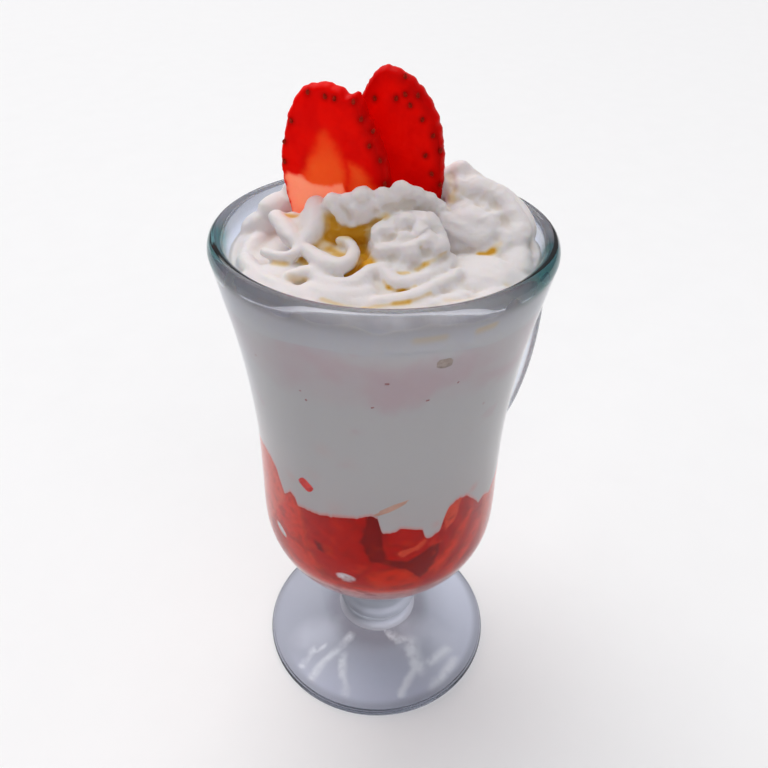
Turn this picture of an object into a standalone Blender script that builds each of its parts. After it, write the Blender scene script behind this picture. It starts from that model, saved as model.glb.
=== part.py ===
"""Strawberries and cream in a footed glass mug.

Metres, +Z up.  The origin is on the glass's axis, on the flat underside of its foot, and the
handle points along +X.  The food is laid out as it is seen from in front, along +Y, and is then
turned about the axis to where it sits in the glass.
"""

import math
import random

import bmesh
import bpy
from mathutils import Matrix, Vector
from mathutils.geometry import interpolate_bezier

MM = 0.001
GAP = 0.3 * MM                      # between pieces that touch
SIDES = 40                          # facets of a turned shape

# Glass: half outlines in mm, radius then height.
FOOT_RADIUS = 34.0
FOOT_EDGE = 1.5                     # radius of the foot's rounded edge
FOOT_TOP = [(33.2, 3.0), (28.0, 3.7), (21.5, 5.2), (15.6, 7.4), (11.6, 10.4), (10.4, 13.2)]
STEM = [(10.4, 13.2), (11.5, 15.6), (11.3, 17.4), (10.3, 19.6), (11.0, 23.0)]
BOWL = [(11.0, 23.0), (13.4, 27.8), (17.2, 33.0), (22.4, 39.2), (27.0, 45.0), (29.6, 49.4),
        (31.2, 55.0), (31.6, 62.0), (31.4, 74.0), (31.5, 88.0), (32.6, 103.0), (34.3, 116.0),
        (36.4, 127.0), (38.0, 135.2)]
BOWL_INSIDE = [(0.0, 41.5), (8.0, 42.0), (14.5, 44.2), (20.0, 48.2), (24.3, 54.0), (27.0, 62.0),
               (27.8, 71.0), (27.9, 79.0), (28.2, 89.0), (29.1, 103.0), (30.7, 116.0),
               (32.7, 127.0), (34.3, 135.2)]
RIM_HEIGHT = 138.0

# Handle: centre line in the plane of the handle, radius from the axis then height.
HANDLE = [(33.9, 120.0), (38.6, 121.3), (45.0, 121.3), (51.4, 116.8), (55.4, 107.4), (56.5, 94.5),
          (54.8, 80.5), (50.2, 69.0), (42.8, 61.8), (36.0, 59.0), (30.2, 58.4)]
HANDLE_THICK = 4.0                  # half, across the ear
HANDLE_WIDE = 4.9                   # half, seen from the side of the ear
HANDLE_FLARE = 1.35                 # how much wider it is where it joins the bowl

# Food: how far its front is turned from the -Y side.
SERVED_TURN = math.radians(-42.0)
HEAP_TOP = 63.0                     # chopped strawberries, below the lumps
CREAM_TOP = 111.5
PINK_TOP = 127.0
LAYER_WAVE = 1.1
LAYER_REACH = 36.0                  # before the bowl trims it
SPACE_TOP = 175.0                   # above everything in the glass

# Lumps of strawberry against the glass: degrees round from the front, height, half size.
WALL_LUMPS = [(-66, 76.5, 7.6), (-48, 70.5, 8.0), (-29, 67.5, 7.4), (-12, 69.0, 8.2),
              (-2, 72.4, 6.4), (14, 66.5, 6.4), (27, 66.0, 7.0), (35, 72.6, 7.2),
              (46, 69.0, 7.8), (58, 64.0, 7.0), (72, 64.0, 6.8)]
BACK_LUMPS = 9
LUMP_RING = 23.0
LUMP_POINTS = 13
LUMP_SEED = 7

# Small bits against the glass: degrees, height, half size, seed of the shape.
CHIP = (-35, 84.0, 2.3, 31)
CRUMB = (20, 123.4, 1.9, 52)

# Whipped cream.
MOUND = [(0.0, 141.0), (8.0, 140.4), (16.0, 137.8), (23.0, 134.4), (29.0, 131.8), (36.0, 130.6)]
ROPE_LOBES = 5
ROPE_GROOVE = 0.16

# Strawberry slices: outline across and up from the foot of the slice.
SLICE_BASE = 138.0
SLICE_THICK = 4.2
SLICE_BEVEL = 0.9
LEFT_SLICE = [(-9.5, -5.0), (-12.3, 1.0), (-13.8, 8.0), (-14.3, 13.5), (-13.2, 18.5),
              (-11.6, 23.5), (-8.9, 27.4), (-5.0, 28.8), (-1.2, 28.2), (1.0, 27.0),
              (2.8, 27.4), (4.6, 24.0), (7.2, 19.2), (8.9, 14.5), (9.7, 9.0), (9.2, 2.0),
              (5.0, -5.0)]
RIGHT_SLICE = [(-6.0, -5.0), (-10.2, 2.0), (-12.0, 10.0), (-12.0, 18.0), (-10.8, 24.4),
               (-8.4, 29.4), (-5.6, 31.2), (-2.6, 30.4), (0.2, 28.8), (2.4, 26.6),
               (4.5, 23.6), (6.1, 19.6), (6.9, 14.0), (7.1, 8.6), (6.4, 3.2), (2.5, -4.0)]
LEFT_PLACE = (-8.0, 0.0, 18.0)      # across, back, degrees turned to the left
RIGHT_PLACE = (5.5, 4.8, 12.0)


def smooth(points, steps):
    """Points on a curve through the given points."""
    points = [Vector(point) for point in points]
    ends = [2 * points[0] - points[1]] + points + [2 * points[-1] - points[-2]]
    curve = []
    for before, here, there, after in zip(ends, ends[1:], ends[2:], ends[3:]):
        leave, arrive = here + (there - before) / 6, there - (after - here) / 6
        curve += interpolate_bezier(here, leave, arrive, there, steps + 1)[:-1]
    return curve + [points[-1].copy()]


def smooth_loop(points, steps):
    """Points on a closed curve through the given points."""
    wrapped = [points[-1]] + points + [points[0], points[1]]
    curve = smooth(wrapped, steps)
    return curve[steps:-2 * steps]


def arc(centre, radii, start, end, steps):
    """Points on part of an ellipse, angles in degrees."""
    angles = [math.radians(start + (end - start) * step / steps) for step in range(steps + 1)]
    return [Vector((centre[0] + radii[0] * math.cos(angle), centre[1] + radii[1] * math.sin(angle)))
            for angle in angles]


def bridge(bm, lower, upper):
    """Faces between two rings of vertices, either of which may be a single vertex."""
    count = max(len(lower), len(upper))
    for i in range(count):
        j = (i + 1) % count
        corners = [lower[i % len(lower)], lower[j % len(lower)],
                   upper[j % len(upper)], upper[i % len(upper)]]
        bm.faces.new(list(dict.fromkeys(corners)))


def skin(rings):
    """A closed mesh over a stack of rings that starts and ends with a single point or a cap."""
    bm = bmesh.new()
    made = [[bm.verts.new(point) for point in ring] for ring in rings]
    for lower, upper in zip(made, made[1:]):
        bridge(bm, lower, upper)
    for ring in (made[0], made[-1]):
        if len(ring) > 1:
            bm.faces.new(ring)
    bmesh.ops.recalc_face_normals(bm, faces=bm.faces)
    return bm


def turned(outline, sides=SIDES):
    """A solid of revolution from half outline points in mm that start and end on the axis."""
    rings = []
    for radius, height in outline:
        if radius < 0.01:
            rings.append([Vector((0, 0, height)) * MM])
            continue
        angles = [2 * math.pi * side / sides for side in range(sides)]
        rings.append([Vector((radius * math.cos(angle), radius * math.sin(angle), height)) * MM
                      for angle in angles])
    return skin(rings)


def make(name, bm):
    """An object from a bmesh, in triangles, as the Boolean's bent faces have to be."""
    bmesh.ops.triangulate(bm, faces=bm.faces)
    mesh = bpy.data.meshes.new(name)
    bm.to_mesh(mesh)
    bm.free()
    made = bpy.data.objects.new(name, mesh)
    bpy.context.scene.collection.objects.link(made)
    return made


def grow(bm, distance):
    """Push every face outwards by a distance."""
    bm.normal_update()
    moves = [vert.normal * distance * vert.calc_shell_factor() for vert in bm.verts]
    for vert, move in zip(bm.verts, moves):
        vert.co += move
    return bm


def apply_boolean(target, operation, others):
    """Join, cut or trim an object with others, which are then removed."""
    group = bpy.data.collections.new("others")
    bpy.context.scene.collection.children.link(group)
    for other in others:
        group.objects.link(other)
        bpy.context.scene.collection.objects.unlink(other)
    modifier = target.modifiers.new("boolean", "BOOLEAN")
    modifier.operation = operation
    modifier.operand_type = "COLLECTION"
    modifier.collection = group
    modifier.solver = "EXACT"
    result = target.evaluated_get(bpy.context.evaluated_depsgraph_get())
    mesh = bpy.data.meshes.new_from_object(result)
    target.modifiers.clear()
    target.data = mesh
    for other in others:
        bpy.data.objects.remove(other)
    bpy.data.collections.remove(group)


def keep_largest(target):
    """Drop the loose scraps that a cut leaves, and points that nearly coincide."""
    bm = bmesh.new()
    bm.from_mesh(target.data)
    bmesh.ops.remove_doubles(bm, verts=bm.verts, dist=0.02 * MM)
    bmesh.ops.dissolve_degenerate(bm, edges=bm.edges, dist=0.01 * MM)
    left = set(bm.verts)
    bodies = []
    while left:
        reached = [left.pop()]
        body = []
        while reached:
            vert = reached.pop()
            body.append(vert)
            for edge in vert.link_edges:
                other = edge.other_vert(vert)
                if other in left:
                    left.remove(other)
                    reached.append(other)
        bodies.append(body)
    bodies.sort(key=len)
    scraps = [vert for body in bodies[:-1] for vert in body]
    bmesh.ops.delete(bm, geom=scraps, context="VERTS")
    bmesh.ops.triangulate(bm, faces=bm.faces)
    bm.to_mesh(target.data)
    bm.free()


def finish(target, colour, roughness, transmission=0.0):
    """Give an object its material and smooth shading over its gentle edges."""
    material = bpy.data.materials.new(target.name)
    material.use_nodes = True
    shader = material.node_tree.nodes["Principled BSDF"]
    shader.inputs["Base Color"].default_value = (*colour, 1.0)
    shader.inputs["Roughness"].default_value = roughness
    shader.inputs["Metallic"].default_value = 0.0
    shader.inputs["Transmission Weight"].default_value = transmission
    target.data.materials.clear()
    target.data.materials.append(material)
    target.data.shade_smooth()
    target.data.set_sharp_from_angle(angle=math.radians(40))


def serve(target):
    """Turn a piece of the food to where it sits in the glass."""
    target.data.transform(Matrix.Rotation(SERVED_TURN, 4, "Z"))


def at_wall(degrees, radius, height):
    """A place in mm, by degrees round from the front towards the right."""
    angle = math.radians(degrees)
    return Vector((radius * math.sin(angle), -radius * math.cos(angle), height))


# --- glass -----------------------------------------------------------------------------------

def rim_bead():
    """The rounded rim, from its outer side over the top to its inner side."""
    outer, inner = BOWL[-1][0], BOWL_INSIDE[-1][0]
    base = BOWL[-1][1]
    centre = ((outer + inner) / 2, base)
    return arc(centre, ((outer - inner) / 2, RIM_HEIGHT - base), 0, 180, 6)


def glass_outline():
    """Half outline of the whole glass, up its outer side and down its inner side."""
    edge = arc((FOOT_RADIUS - FOOT_EDGE, FOOT_EDGE), (FOOT_EDGE, FOOT_EDGE), -90, 60, 4)
    outside = [Vector(point) for point in FOOT_TOP[:-1] + STEM[:-1] + BOWL[:-1]]
    inside = [Vector(point) for point in reversed(BOWL_INSIDE)]
    return [Vector((0, 0))] + edge + outside + rim_bead()[:-1] + inside


def handle_rings():
    """Oval sections along the handle's centre line."""
    path = smooth(HANDLE, 2)
    rings = []
    last = len(path) - 1
    for i, point in enumerate(path):
        along = (path[min(i + 1, last)] - path[max(i - 1, 0)]).normalized()
        if i in (0, last):
            along = Vector((along.x, 0)).normalized()
        across = Vector((along.y, 0, -along.x))
        share = i / last
        flare = 1 + (HANDLE_FLARE - 1) * abs(2 * share - 1) ** 6
        centre = Vector((point.x, 0, point.y))
        ring = []
        for side in range(12):
            angle = 2 * math.pi * side / 12
            offset = across * HANDLE_THICK * math.cos(angle)
            offset += Vector((0, HANDLE_WIDE * math.sin(angle), 0))
            ring.append((centre + offset * flare) * MM)
        rings.append(ring)
    return rings


def make_glass():
    glass = make("glass", turned(glass_outline()))
    apply_boolean(glass, "UNION", [make("handle", skin(handle_rings()))])
    keep_largest(glass)
    finish(glass, (0.86, 0.90, 0.92), 0.03, 1.0)


# --- layers in the bowl ----------------------------------------------------------------------

def wall_curve():
    """The inside of the bowl, set in by the gap, from the middle of the bottom upwards."""
    curve = [Vector(point) for point in BOWL_INSIDE]
    moved = []
    for i, point in enumerate(curve):
        along = (curve[min(i + 1, len(curve) - 1)] - curve[max(i - 1, 0)]).normalized()
        moved.append(point + Vector((-along.y, along.x)) * GAP / MM)
    moved[0].x = 0.0
    return moved


def wall_radius(height):
    """Radius of the set-in wall at a height."""
    curve = wall_curve()
    for low, high in zip(curve, curve[1:]):
        if low.y <= height <= high.y:
            return low.x + (high.x - low.x) * (height - low.y) / (high.y - low.y)
    return curve[-1].x


def bowl_space():
    """The space inside the glass, carried straight up past the rim."""
    curve = wall_curve()
    return turned(curve + [Vector((curve[-1].x, SPACE_TOP)), Vector((0, SPACE_TOP))])


def wave(degrees, share, phase):
    """Height of the gentle waves where one layer lies on another."""
    angle = math.radians(degrees)
    bumps = math.sin(3 * angle + phase) + 0.6 * math.sin(5 * angle - 2 * phase)
    return LAYER_WAVE * bumps * share


def layer(low, low_phase, high, high_phase):
    """A layer between two gently waved surfaces, wider than the bowl."""
    shares = [0.35, 0.7, 1.0]

    def surface(height, phase):
        rings = [[Vector((0, 0, height)) * MM]]
        for share in shares:
            turns = [360 * side / SIDES for side in range(SIDES)]
            rings.append([at_wall(degrees, share * LAYER_REACH,
                                  height + wave(degrees, share, phase)) * MM for degrees in turns])
        return rings

    return skin(surface(low, low_phase) + surface(high, high_phase)[::-1])


def lump(centre, size, seed, stretch=(1.0, 1.0, 1.0)):
    """An irregular cut lump: the hull of points scattered over a ball."""
    draw = random.Random(seed)
    bm = bmesh.new()
    for i in range(LUMP_POINTS):
        height = 1 - (2 * i + 1) / LUMP_POINTS
        angle = math.pi * (1 + 5 ** 0.5) * i + draw.uniform(-0.5, 0.5)
        across = math.sqrt(1 - height * height)
        reach = size * draw.uniform(0.82, 1.08)
        spot = Vector((across * math.cos(angle) * stretch[0], across * math.sin(angle) * stretch[1],
                       height * stretch[2]))
        bm.verts.new((centre + spot * reach) * MM)
    hull = bmesh.ops.convex_hull(bm, input=bm.verts)
    spare = {item for item in hull["geom_interior"] + hull["geom_unused"]
             if isinstance(item, bmesh.types.BMVert)}
    bmesh.ops.delete(bm, geom=list(spare), context="VERTS")
    bmesh.ops.recalc_face_normals(bm, faces=bm.faces)
    return bm


def heap(grown):
    """The chopped strawberries: a core and the lumps that stand out of it."""
    draw = random.Random(LUMP_SEED)
    places = list(WALL_LUMPS)
    for i in range(BACK_LUMPS):
        degrees = 88 + (272 - 88) * i / (BACK_LUMPS - 1)
        places.append((degrees, draw.uniform(65, 73), draw.uniform(6.6, 8.0)))
    lumps = []
    for i, (degrees, height, size) in enumerate(places):
        stretch = (draw.uniform(0.9, 1.1), draw.uniform(0.9, 1.1), draw.uniform(0.9, 1.1))
        piece = lump(at_wall(degrees, LUMP_RING, height), size, LUMP_SEED + i, stretch)
        lumps.append(make("lump", grow(piece, grown)))
    for i in range(6):
        piece = lump(at_wall(60 * i, 10.0, 64.0 + 2 * (i % 3)), 8.0, 2 * LUMP_SEED + i)
        lumps.append(make("lump", grow(piece, grown)))
    top = HEAP_TOP + grown / MM
    core = make("heap", turned([(0, 36), (34, 36), (34, top), (0, top)], 24))
    apply_boolean(core, "UNION", lumps)
    return core


def make_layers():
    strawberries = heap(0.0)
    strawberries.name = "strawberry_layer"
    apply_boolean(strawberries, "INTERSECT", [make("space", bowl_space())])
    keep_largest(strawberries)
    finish(strawberries, (0.45, 0.02, 0.01), 0.35)
    serve(strawberries)

    cream = make("cream_layer", layer(50.0, 0.0, CREAM_TOP, 0.4))
    apply_boolean(cream, "INTERSECT", [make("space", bowl_space())])
    apply_boolean(cream, "DIFFERENCE", [heap(GAP), make("pocket", grow(small_piece(*CHIP), GAP))])
    keep_largest(cream)
    finish(cream, (0.80, 0.79, 0.78), 0.45)

    pink = make("pink_cream_layer", layer(CREAM_TOP + GAP / MM, 0.4, PINK_TOP, 2.0))
    apply_boolean(pink, "INTERSECT", [make("space", bowl_space())])
    apply_boolean(pink, "DIFFERENCE", [make("pocket", grow(small_piece(*CRUMB), GAP))])
    keep_largest(pink)
    finish(pink, (0.78, 0.68, 0.69), 0.45)
    for piece in (cream, pink):
        serve(piece)


def small_piece(degrees, height, size, seed):
    """A small lump that the wall cuts flat."""
    return lump(at_wall(degrees, wall_radius(height) - size * 0.55, height), size, seed)


def make_small_pieces():
    for name, place, colour in (("strawberry_chip", CHIP, (0.62, 0.03, 0.01)),
                                ("pale_crumb", CRUMB, (0.62, 0.52, 0.42))):
        piece = make(name, small_piece(*place))
        apply_boolean(piece, "INTERSECT", [make("space", bowl_space())])
        keep_largest(piece)
        finish(piece, colour, 0.5)
        serve(piece)


# --- whipped cream ---------------------------------------------------------------------------

def rope(points, radius, lobes=ROPE_LOBES, groove=ROPE_GROOVE, twist=0.0, steps=2, ends=0.35):
    """A piped rope of cream with a grooved section, tapered at both ends; mm."""
    path = smooth(points, steps)
    last = len(path) - 1
    sides = 2 * lobes
    rings = []
    for i, point in enumerate(path):
        along = (path[min(i + 1, last)] - path[max(i - 1, 0)]).normalized()
        across = along.cross(Vector((0, 0, 1))).normalized()
        over = across.cross(along)
        near_end = min(i, last - i) / (0.18 * last)
        taper = ends + (1 - ends) * math.sin(math.pi / 2 * min(1.0, near_end))
        ring = []
        for side in range(sides):
            angle = 2 * math.pi * side / sides + twist * i / last
            reach = radius * taper * (1 + (groove if side % 2 == 0 else -groove))
            ring.append((point + (across * math.cos(angle) + over * math.sin(angle)) * reach) * MM)
        rings.append(ring)
    return skin([[path[0] * MM]] + rings[1:-1] + [[path[-1] * MM]])


def ring_rope(radius, start, end, low, high, sway, steps=14):
    """Points of a rope laid round the glass, swaying in and out; mm and degrees."""
    points = []
    for step in range(steps + 1):
        share = step / steps
        degrees = start + (end - start) * share
        lean = sway * math.sin(share * steps * 1.9)
        points.append(at_wall(degrees, radius + lean, low + (high - low) * share))
    return points


def rosette(centre, radius, low, high, lobes, turn, groove=0.13, levels=7):
    """A piped rosette: a dome with grooves that wind up to its tip; mm and degrees."""
    sides = 4 * lobes
    rings = []
    for level in range(levels):
        share = level / levels
        reach = radius * math.sqrt(1 - share ** 2.2) * (1 - 0.18 * share)
        ring = []
        for side in range(sides):
            angle = 360 * side / sides
            ridge = 1 + groove * math.cos(math.radians(lobes * angle))
            spot = at_wall(angle + turn * share, reach * ridge, low + (high - low) * share)
            ring.append((spot + Vector((centre[0], centre[1], 0))) * MM)
        rings.append(ring)
    rings.append([Vector((centre[0], centre[1], high)) * MM])
    return skin(rings)


def cream_ropes():
    """Every rope of the whipped cream, each with its own run."""
    return [
        # rings that follow the glass
        rope(ring_rope(28.6, -178, 88, 131.2, 131.0, 0.5, 12), 4.6, twist=2.5),
        rope(ring_rope(28.8, 80, 186, 131.0, 132.6, 0.4, 7), 4.7, twist=1.0),
        rope(ring_rope(20.0, -158, 60, 134.6, 134.8, 0.8, 12), 4.4, twist=2.0),
        rope(ring_rope(20.5, 96, 206, 136.0, 136.6, 0.6, 7), 4.8, twist=1.2),
        # fold from the foot of the left slice down to the left
        rope([(-20.5, 0.0, 139.6), (-23.0, -6.5, 137.8), (-22.0, -13.0, 136.0),
              (-16.8, -16.6, 136.2), (-12.2, -13.0, 139.2), (-11.4, -7.6, 142.0)], 3.2, twist=1.0),
        # ruffle in front of the slices
        rope([(-13.0, -7.4, 142.6), (-8.6, -8.4, 143.8), (-4.0, -9.6, 144.4), (0.6, -9.4, 144.8),
              (4.4, -8.0, 145.2), (8.6, -6.2, 144.4), (12.0, -6.0, 142.2)], 3.9, twist=1.6),
        # hooked curl at the left of the middle
        rope([(-19.0, -17.0, 138.6), (-15.0, -19.6, 138.4), (-11.4, -22.0, 137.6),
              (-8.0, -22.2, 137.8), (-5.6, -19.8, 138.4), (-6.4, -16.8, 139.0),
              (-9.0, -16.0, 139.6)], 1.9, 4, 0.1),
        # rosette in the middle of the front
        rosette((4.6, -13.0), 9.6, 136.0, 146.6, 6, 80),
        # waved ridge below it
        rope([(-17.4, -23.4, 134.6), (-13.0, -22.4, 135.4), (-8.0, -24.2, 134.6),
              (-3.6, -22.2, 136.4), (0.0, -23.0, 136.2), (4.4, -25.4, 134.8),
              (9.4, -23.8, 135.6), (14.0, -19.4, 137.4)], 2.9, twist=1.2),
        # mound on the right, with a lump on top
        rosette((19.0, -2.0), 14.6, 132.0, 146.6, 5, 70, 0.07),
        rope([(8.5, 5.0, 142.8), (13.0, 9.0, 144.8), (18.6, 10.2, 145.2), (23.6, 7.4, 143.2),
              (26.4, 1.8, 140.4)], 3.6, twist=0.6),
        # cream behind the slices
        rope([(-22.0, 8.0, 138.0), (-17.0, 13.0, 139.6), (-9.0, 16.4, 140.4), (0.0, 17.4, 141.0),
              (8.0, 15.0, 142.0)], 5.0, twist=1.4),
    ]


def make_whipped_cream():
    low = (CREAM_TOP + PINK_TOP) / 2
    bottom = [Vector((0, low)), Vector((LAYER_REACH, low))]
    cream = make("whipped_cream", turned(bottom + MOUND[::-1], 24))
    apply_boolean(cream, "UNION", [make("rope", bm) for bm in cream_ropes()])
    apply_boolean(cream, "INTERSECT", [make("space", bowl_space())])
    below = make("below", layer(CREAM_TOP, 0.4, PINK_TOP + GAP / MM, 2.0))
    slots = [make("slot", grow(slice_mesh(outline, place), GAP))
             for outline, place in ((LEFT_SLICE, LEFT_PLACE), (RIGHT_SLICE, RIGHT_PLACE))]
    apply_boolean(cream, "DIFFERENCE", [below] + slots)
    keep_largest(cream)
    finish(cream, (0.86, 0.84, 0.82), 0.5)
    serve(cream)


# --- strawberry slices -----------------------------------------------------------------------

def slice_mesh(outline, place):
    """A thick slice with a bevelled skin, standing on edge."""
    across, back, degrees = place
    loop = smooth_loop(outline, 2)
    middle = sum(loop, Vector((0, 0))) / len(loop)
    depths = [(-SLICE_THICK / 2, SLICE_BEVEL), (-SLICE_THICK / 6, 0.1), (SLICE_THICK / 6, 0.0),
              (SLICE_THICK / 2, SLICE_BEVEL)]
    turn = Matrix.Rotation(math.radians(-degrees), 3, "Z")
    rings = []
    for depth, inset in depths:
        ring = []
        for point in loop:
            drawn = point - (point - middle).normalized() * inset
            spot = turn @ Vector((drawn.x, depth, 0)) + Vector((across, back, SLICE_BASE + drawn.y))
            ring.append(spot * MM)
        rings.append(ring)
    return skin(rings)


def make_slices():
    for name, outline, place in (("strawberry_slice_left", LEFT_SLICE, LEFT_PLACE),
                                 ("strawberry_slice_right", RIGHT_SLICE, RIGHT_PLACE)):
        slab = make(name, slice_mesh(outline, place))
        finish(slab, (0.60, 0.01, 0.005), 0.3)
        serve(slab)


for old in list(bpy.data.objects):
    bpy.data.objects.remove(old)
make_glass()
make_layers()
make_small_pieces()
make_whipped_cream()
make_slices()
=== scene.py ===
"""Strawberries and cream in a footed glass mug, dressed for its picture."""

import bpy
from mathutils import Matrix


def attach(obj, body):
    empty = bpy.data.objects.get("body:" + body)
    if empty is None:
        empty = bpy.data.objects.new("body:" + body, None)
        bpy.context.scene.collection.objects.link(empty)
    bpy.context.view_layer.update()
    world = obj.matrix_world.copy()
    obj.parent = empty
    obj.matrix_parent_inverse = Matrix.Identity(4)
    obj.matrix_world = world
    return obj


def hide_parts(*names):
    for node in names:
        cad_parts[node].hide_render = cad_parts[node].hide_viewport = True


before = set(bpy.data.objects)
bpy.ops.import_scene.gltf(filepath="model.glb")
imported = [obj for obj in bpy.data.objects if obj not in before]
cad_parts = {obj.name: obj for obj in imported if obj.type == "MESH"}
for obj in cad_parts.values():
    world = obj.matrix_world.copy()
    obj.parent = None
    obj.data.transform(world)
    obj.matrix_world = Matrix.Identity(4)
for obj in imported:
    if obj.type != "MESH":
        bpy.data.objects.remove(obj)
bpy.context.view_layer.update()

import math

import bmesh
import bpy
import numpy as np
from mathutils import Matrix, Vector

# ---- The glass ------------------------------------------------------------------------------
# A mug of clear soda-lime glass with a broad foot, a short ringed stem and a bowl that opens to
# a thick rounded rim.  It is pressed in a mould, and its ear handle is drawn out of the same
# hot glass, so the two run into each other.

MM = 0.001
FOOT_RADIUS = 34.0
FOOT_EDGE = 1.5
FOOT_TOP = [(33.2, 3.0), (28.0, 3.7), (21.5, 5.2), (15.6, 7.4), (11.6, 10.4), (10.4, 13.2)]
STEM = [(11.5, 15.6), (11.3, 17.4), (10.3, 19.6), (11.0, 23.0)]
BOWL = [(13.4, 27.8), (17.2, 33.0), (22.4, 39.2), (27.0, 45.0), (29.6, 49.4), (31.2, 55.0),
        (31.6, 62.0), (31.4, 74.0), (31.5, 88.0), (32.6, 103.0), (34.3, 116.0), (36.4, 127.0),
        (38.0, 135.2)]
BOWL_INSIDE = [(0.0, 41.5), (8.0, 42.0), (14.5, 44.2), (20.0, 48.2), (24.3, 54.0), (27.0, 62.0),
               (27.8, 71.0), (27.9, 79.0), (28.2, 89.0), (29.1, 103.0), (30.7, 116.0),
               (32.7, 127.0), (34.3, 135.2)]
RIM_HEIGHT = 138.0
HANDLE = [(33.9, 120.0), (38.6, 121.3), (45.0, 121.3), (51.4, 116.8), (55.4, 107.4), (56.5, 94.5),
          (54.8, 80.5), (50.2, 69.0), (42.8, 61.8), (36.0, 59.0), (30.2, 58.4)]
HANDLE_THICK = 4.0
HANDLE_WIDE = 4.9
HANDLE_SWELL = 0.35
HANDLE_FLARE = 0.25
GLASS_SIDES = 192
HANDLE_SIDES = 40
GLASS_CREASE = 50
# The innermost ring of a turned shape, a hair off its axis, and one that divides the underside.
AXIS_RING = 0.02
UNDERSIDE_RING = 16.0
# The handle lies along +X, and the glass is served this far round from -Y.
SERVED_TURN = math.radians(-42.0)
# Tints of the glass, part by part.  The wall, its upper band, the ear and the clear underside
# have the glass's own tints; the rest are painted light and shade: a painted bluish reflection
# on the sides, where they are seen edge on, painted shade on the stem, round its foot and along
# the foot's rounded edge, the foot painted darker at the back and lighter at the front and
# right, and painted sheens and streaks of light in the foot.
WALL_TINT = (0.92, 0.915, 0.93)
UPPER_WALL_TINT = (0.86, 0.88, 0.97)
EDGE_ON_PAINTED_REFLECTION = (0.74, 0.79, 0.93)
EAR_TINT = (0.90, 0.93, 1.0)
STEM_PAINTED_SHADE = (0.37, 0.375, 0.43)
FLARE_PAINTED_SHADE = (0.20, 0.205, 0.26)
FOOT_BACK_PAINTED_SHADE = (0.28, 0.295, 0.375)
FOOT_FRONT_PAINTED_LIGHT = (0.45, 0.48, 0.62)
FOOT_RIGHT_PAINTED_LIGHT = (0.55, 0.59, 0.73)
FOOT_EDGE_PAINTED_SHADE = (0.26, 0.275, 0.35)
PAINTED_SHEEN = (0.64, 0.67, 0.80)
PAINTED_STREAK_LIGHT = (0.88, 0.92, 1.0)
CLEAR = (1.0, 1.0, 1.0)
# Its faint glint, and what light keeps on its way: past a shadow, and for each metre of glass.
GLINT = (0.08, 0.08, 0.08, 1.0)
LIGHT_THROUGH = (0.90, 0.90, 0.91, 1.0)
DEPTH_TINT = (0.70, 0.75, 0.78, 1.0)
DEPTH_DENSITY = 20.0
# Tints of the rim once round it, from the side away from the handle: painted light and shade round
# the thick green glass, darkest and greenest at the two sides seen from the front.
RIM_GREEN_AND_PAINTED_SHADING = [
    (0.0, (0.30, 0.30, 0.34)), (0.05, (0.36, 0.35, 0.40)), (0.09, (0.70, 0.70, 0.73)),
    (0.133, (0.84, 0.84, 0.87)), (0.19, (0.76, 0.76, 0.80)), (0.245, (0.36, 0.37, 0.41)),
    (0.285, (0.02, 0.20, 0.21)), (0.35, (0.02, 0.18, 0.20)), (0.38, (0.66, 0.68, 0.74)),
    (0.42, (0.66, 0.68, 0.74)), (0.50, (0.42, 0.43, 0.50)), (0.633, (0.70, 0.72, 0.78)),
    (0.80, (0.50, 0.52, 0.60)), (0.87, (0.42, 0.45, 0.52)), (0.90, (0.05, 0.24, 0.25)),
    (0.955, (0.05, 0.23, 0.24)), (0.98, (0.24, 0.26, 0.30))]
# Streaks of light in the foot, as seen from the front: half width, then across and back in mm.
STREAKS = [
    (0.5, [(-19.5, -15.2), (-17.7, -15.2), (-15.9, -14.1)]),
    (0.9, [(-22.2, -19.7), (-20.9, -17.0), (-19.5, -15.2)]),
    (1.0, [(-19.3, -24.0), (-16.9, -20.3), (-15.3, -18.6), (-11.8, -15.8), (-8.2, -12.5)]),
    (1.0, [(-10.1, -18.1), (-10.1, -23.1), (-8.9, -28.6)]),
    (0.8, [(4.0, -12.3), (6.5, -13.3), (9.0, -12.9)]),
    (1.8, [(11.0, -13.9), (11.7, -17.4), (12.9, -20.4)]),
    (1.1, [(12.5, -20.4), (15.6, -19.0), (18.4, -16.9), (22.3, -13.3)]),
    (1.0, [(12.2, -20.4), (9.7, -24.4), (7.8, -28.3)]),
    (1.1, [(24.2, -17.1), (21.2, -21.2), (18.6, -26.1)]),
    (1.8, [(19.0, -25.0), (18.2, -26.4)]), (0.5, [(1.1, -10.9), (2.4, -11.3)])]
# How far from side to side the streaks wander, in mm.
STREAK_SWAY = 3.6
# Broad sheens in the foot, in the same form.
SHEENS = [(4.0, [(-20.9, -10.3), (-16.5, -10.2)]),
          (3.4, [(9.9, -11.1), (16.3, -8.8), (21.2, -11.6)])]


def through(points, steps):
    """A smooth curve through the given points, as an array."""
    points = np.array(points, float)
    ends = np.vstack([2 * points[0] - points[1], points, 2 * points[-1] - points[-2]])
    share = np.arange(steps)[:, None] / steps
    parts = []
    for before, here, there, after in zip(ends, ends[1:], ends[2:], ends[3:]):
        leave, arrive = (there - before) / 2, (after - here) / 2
        parts.append((2 * share ** 3 - 3 * share ** 2 + 1) * here
                     + (share ** 3 - 2 * share ** 2 + share) * leave
                     + (3 * share ** 2 - 2 * share ** 3) * there
                     + (share ** 3 - share ** 2) * arrive)
    return np.vstack(parts + [points[-1:]])


def oval(centre, radii, start, end, steps):
    """Points on part of an ellipse, angles in degrees."""
    angles = np.radians(np.linspace(start, end, steps + 1))
    return np.column_stack([centre[0] + radii[0] * np.cos(angles),
                            centre[1] + radii[1] * np.sin(angles)])


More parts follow.
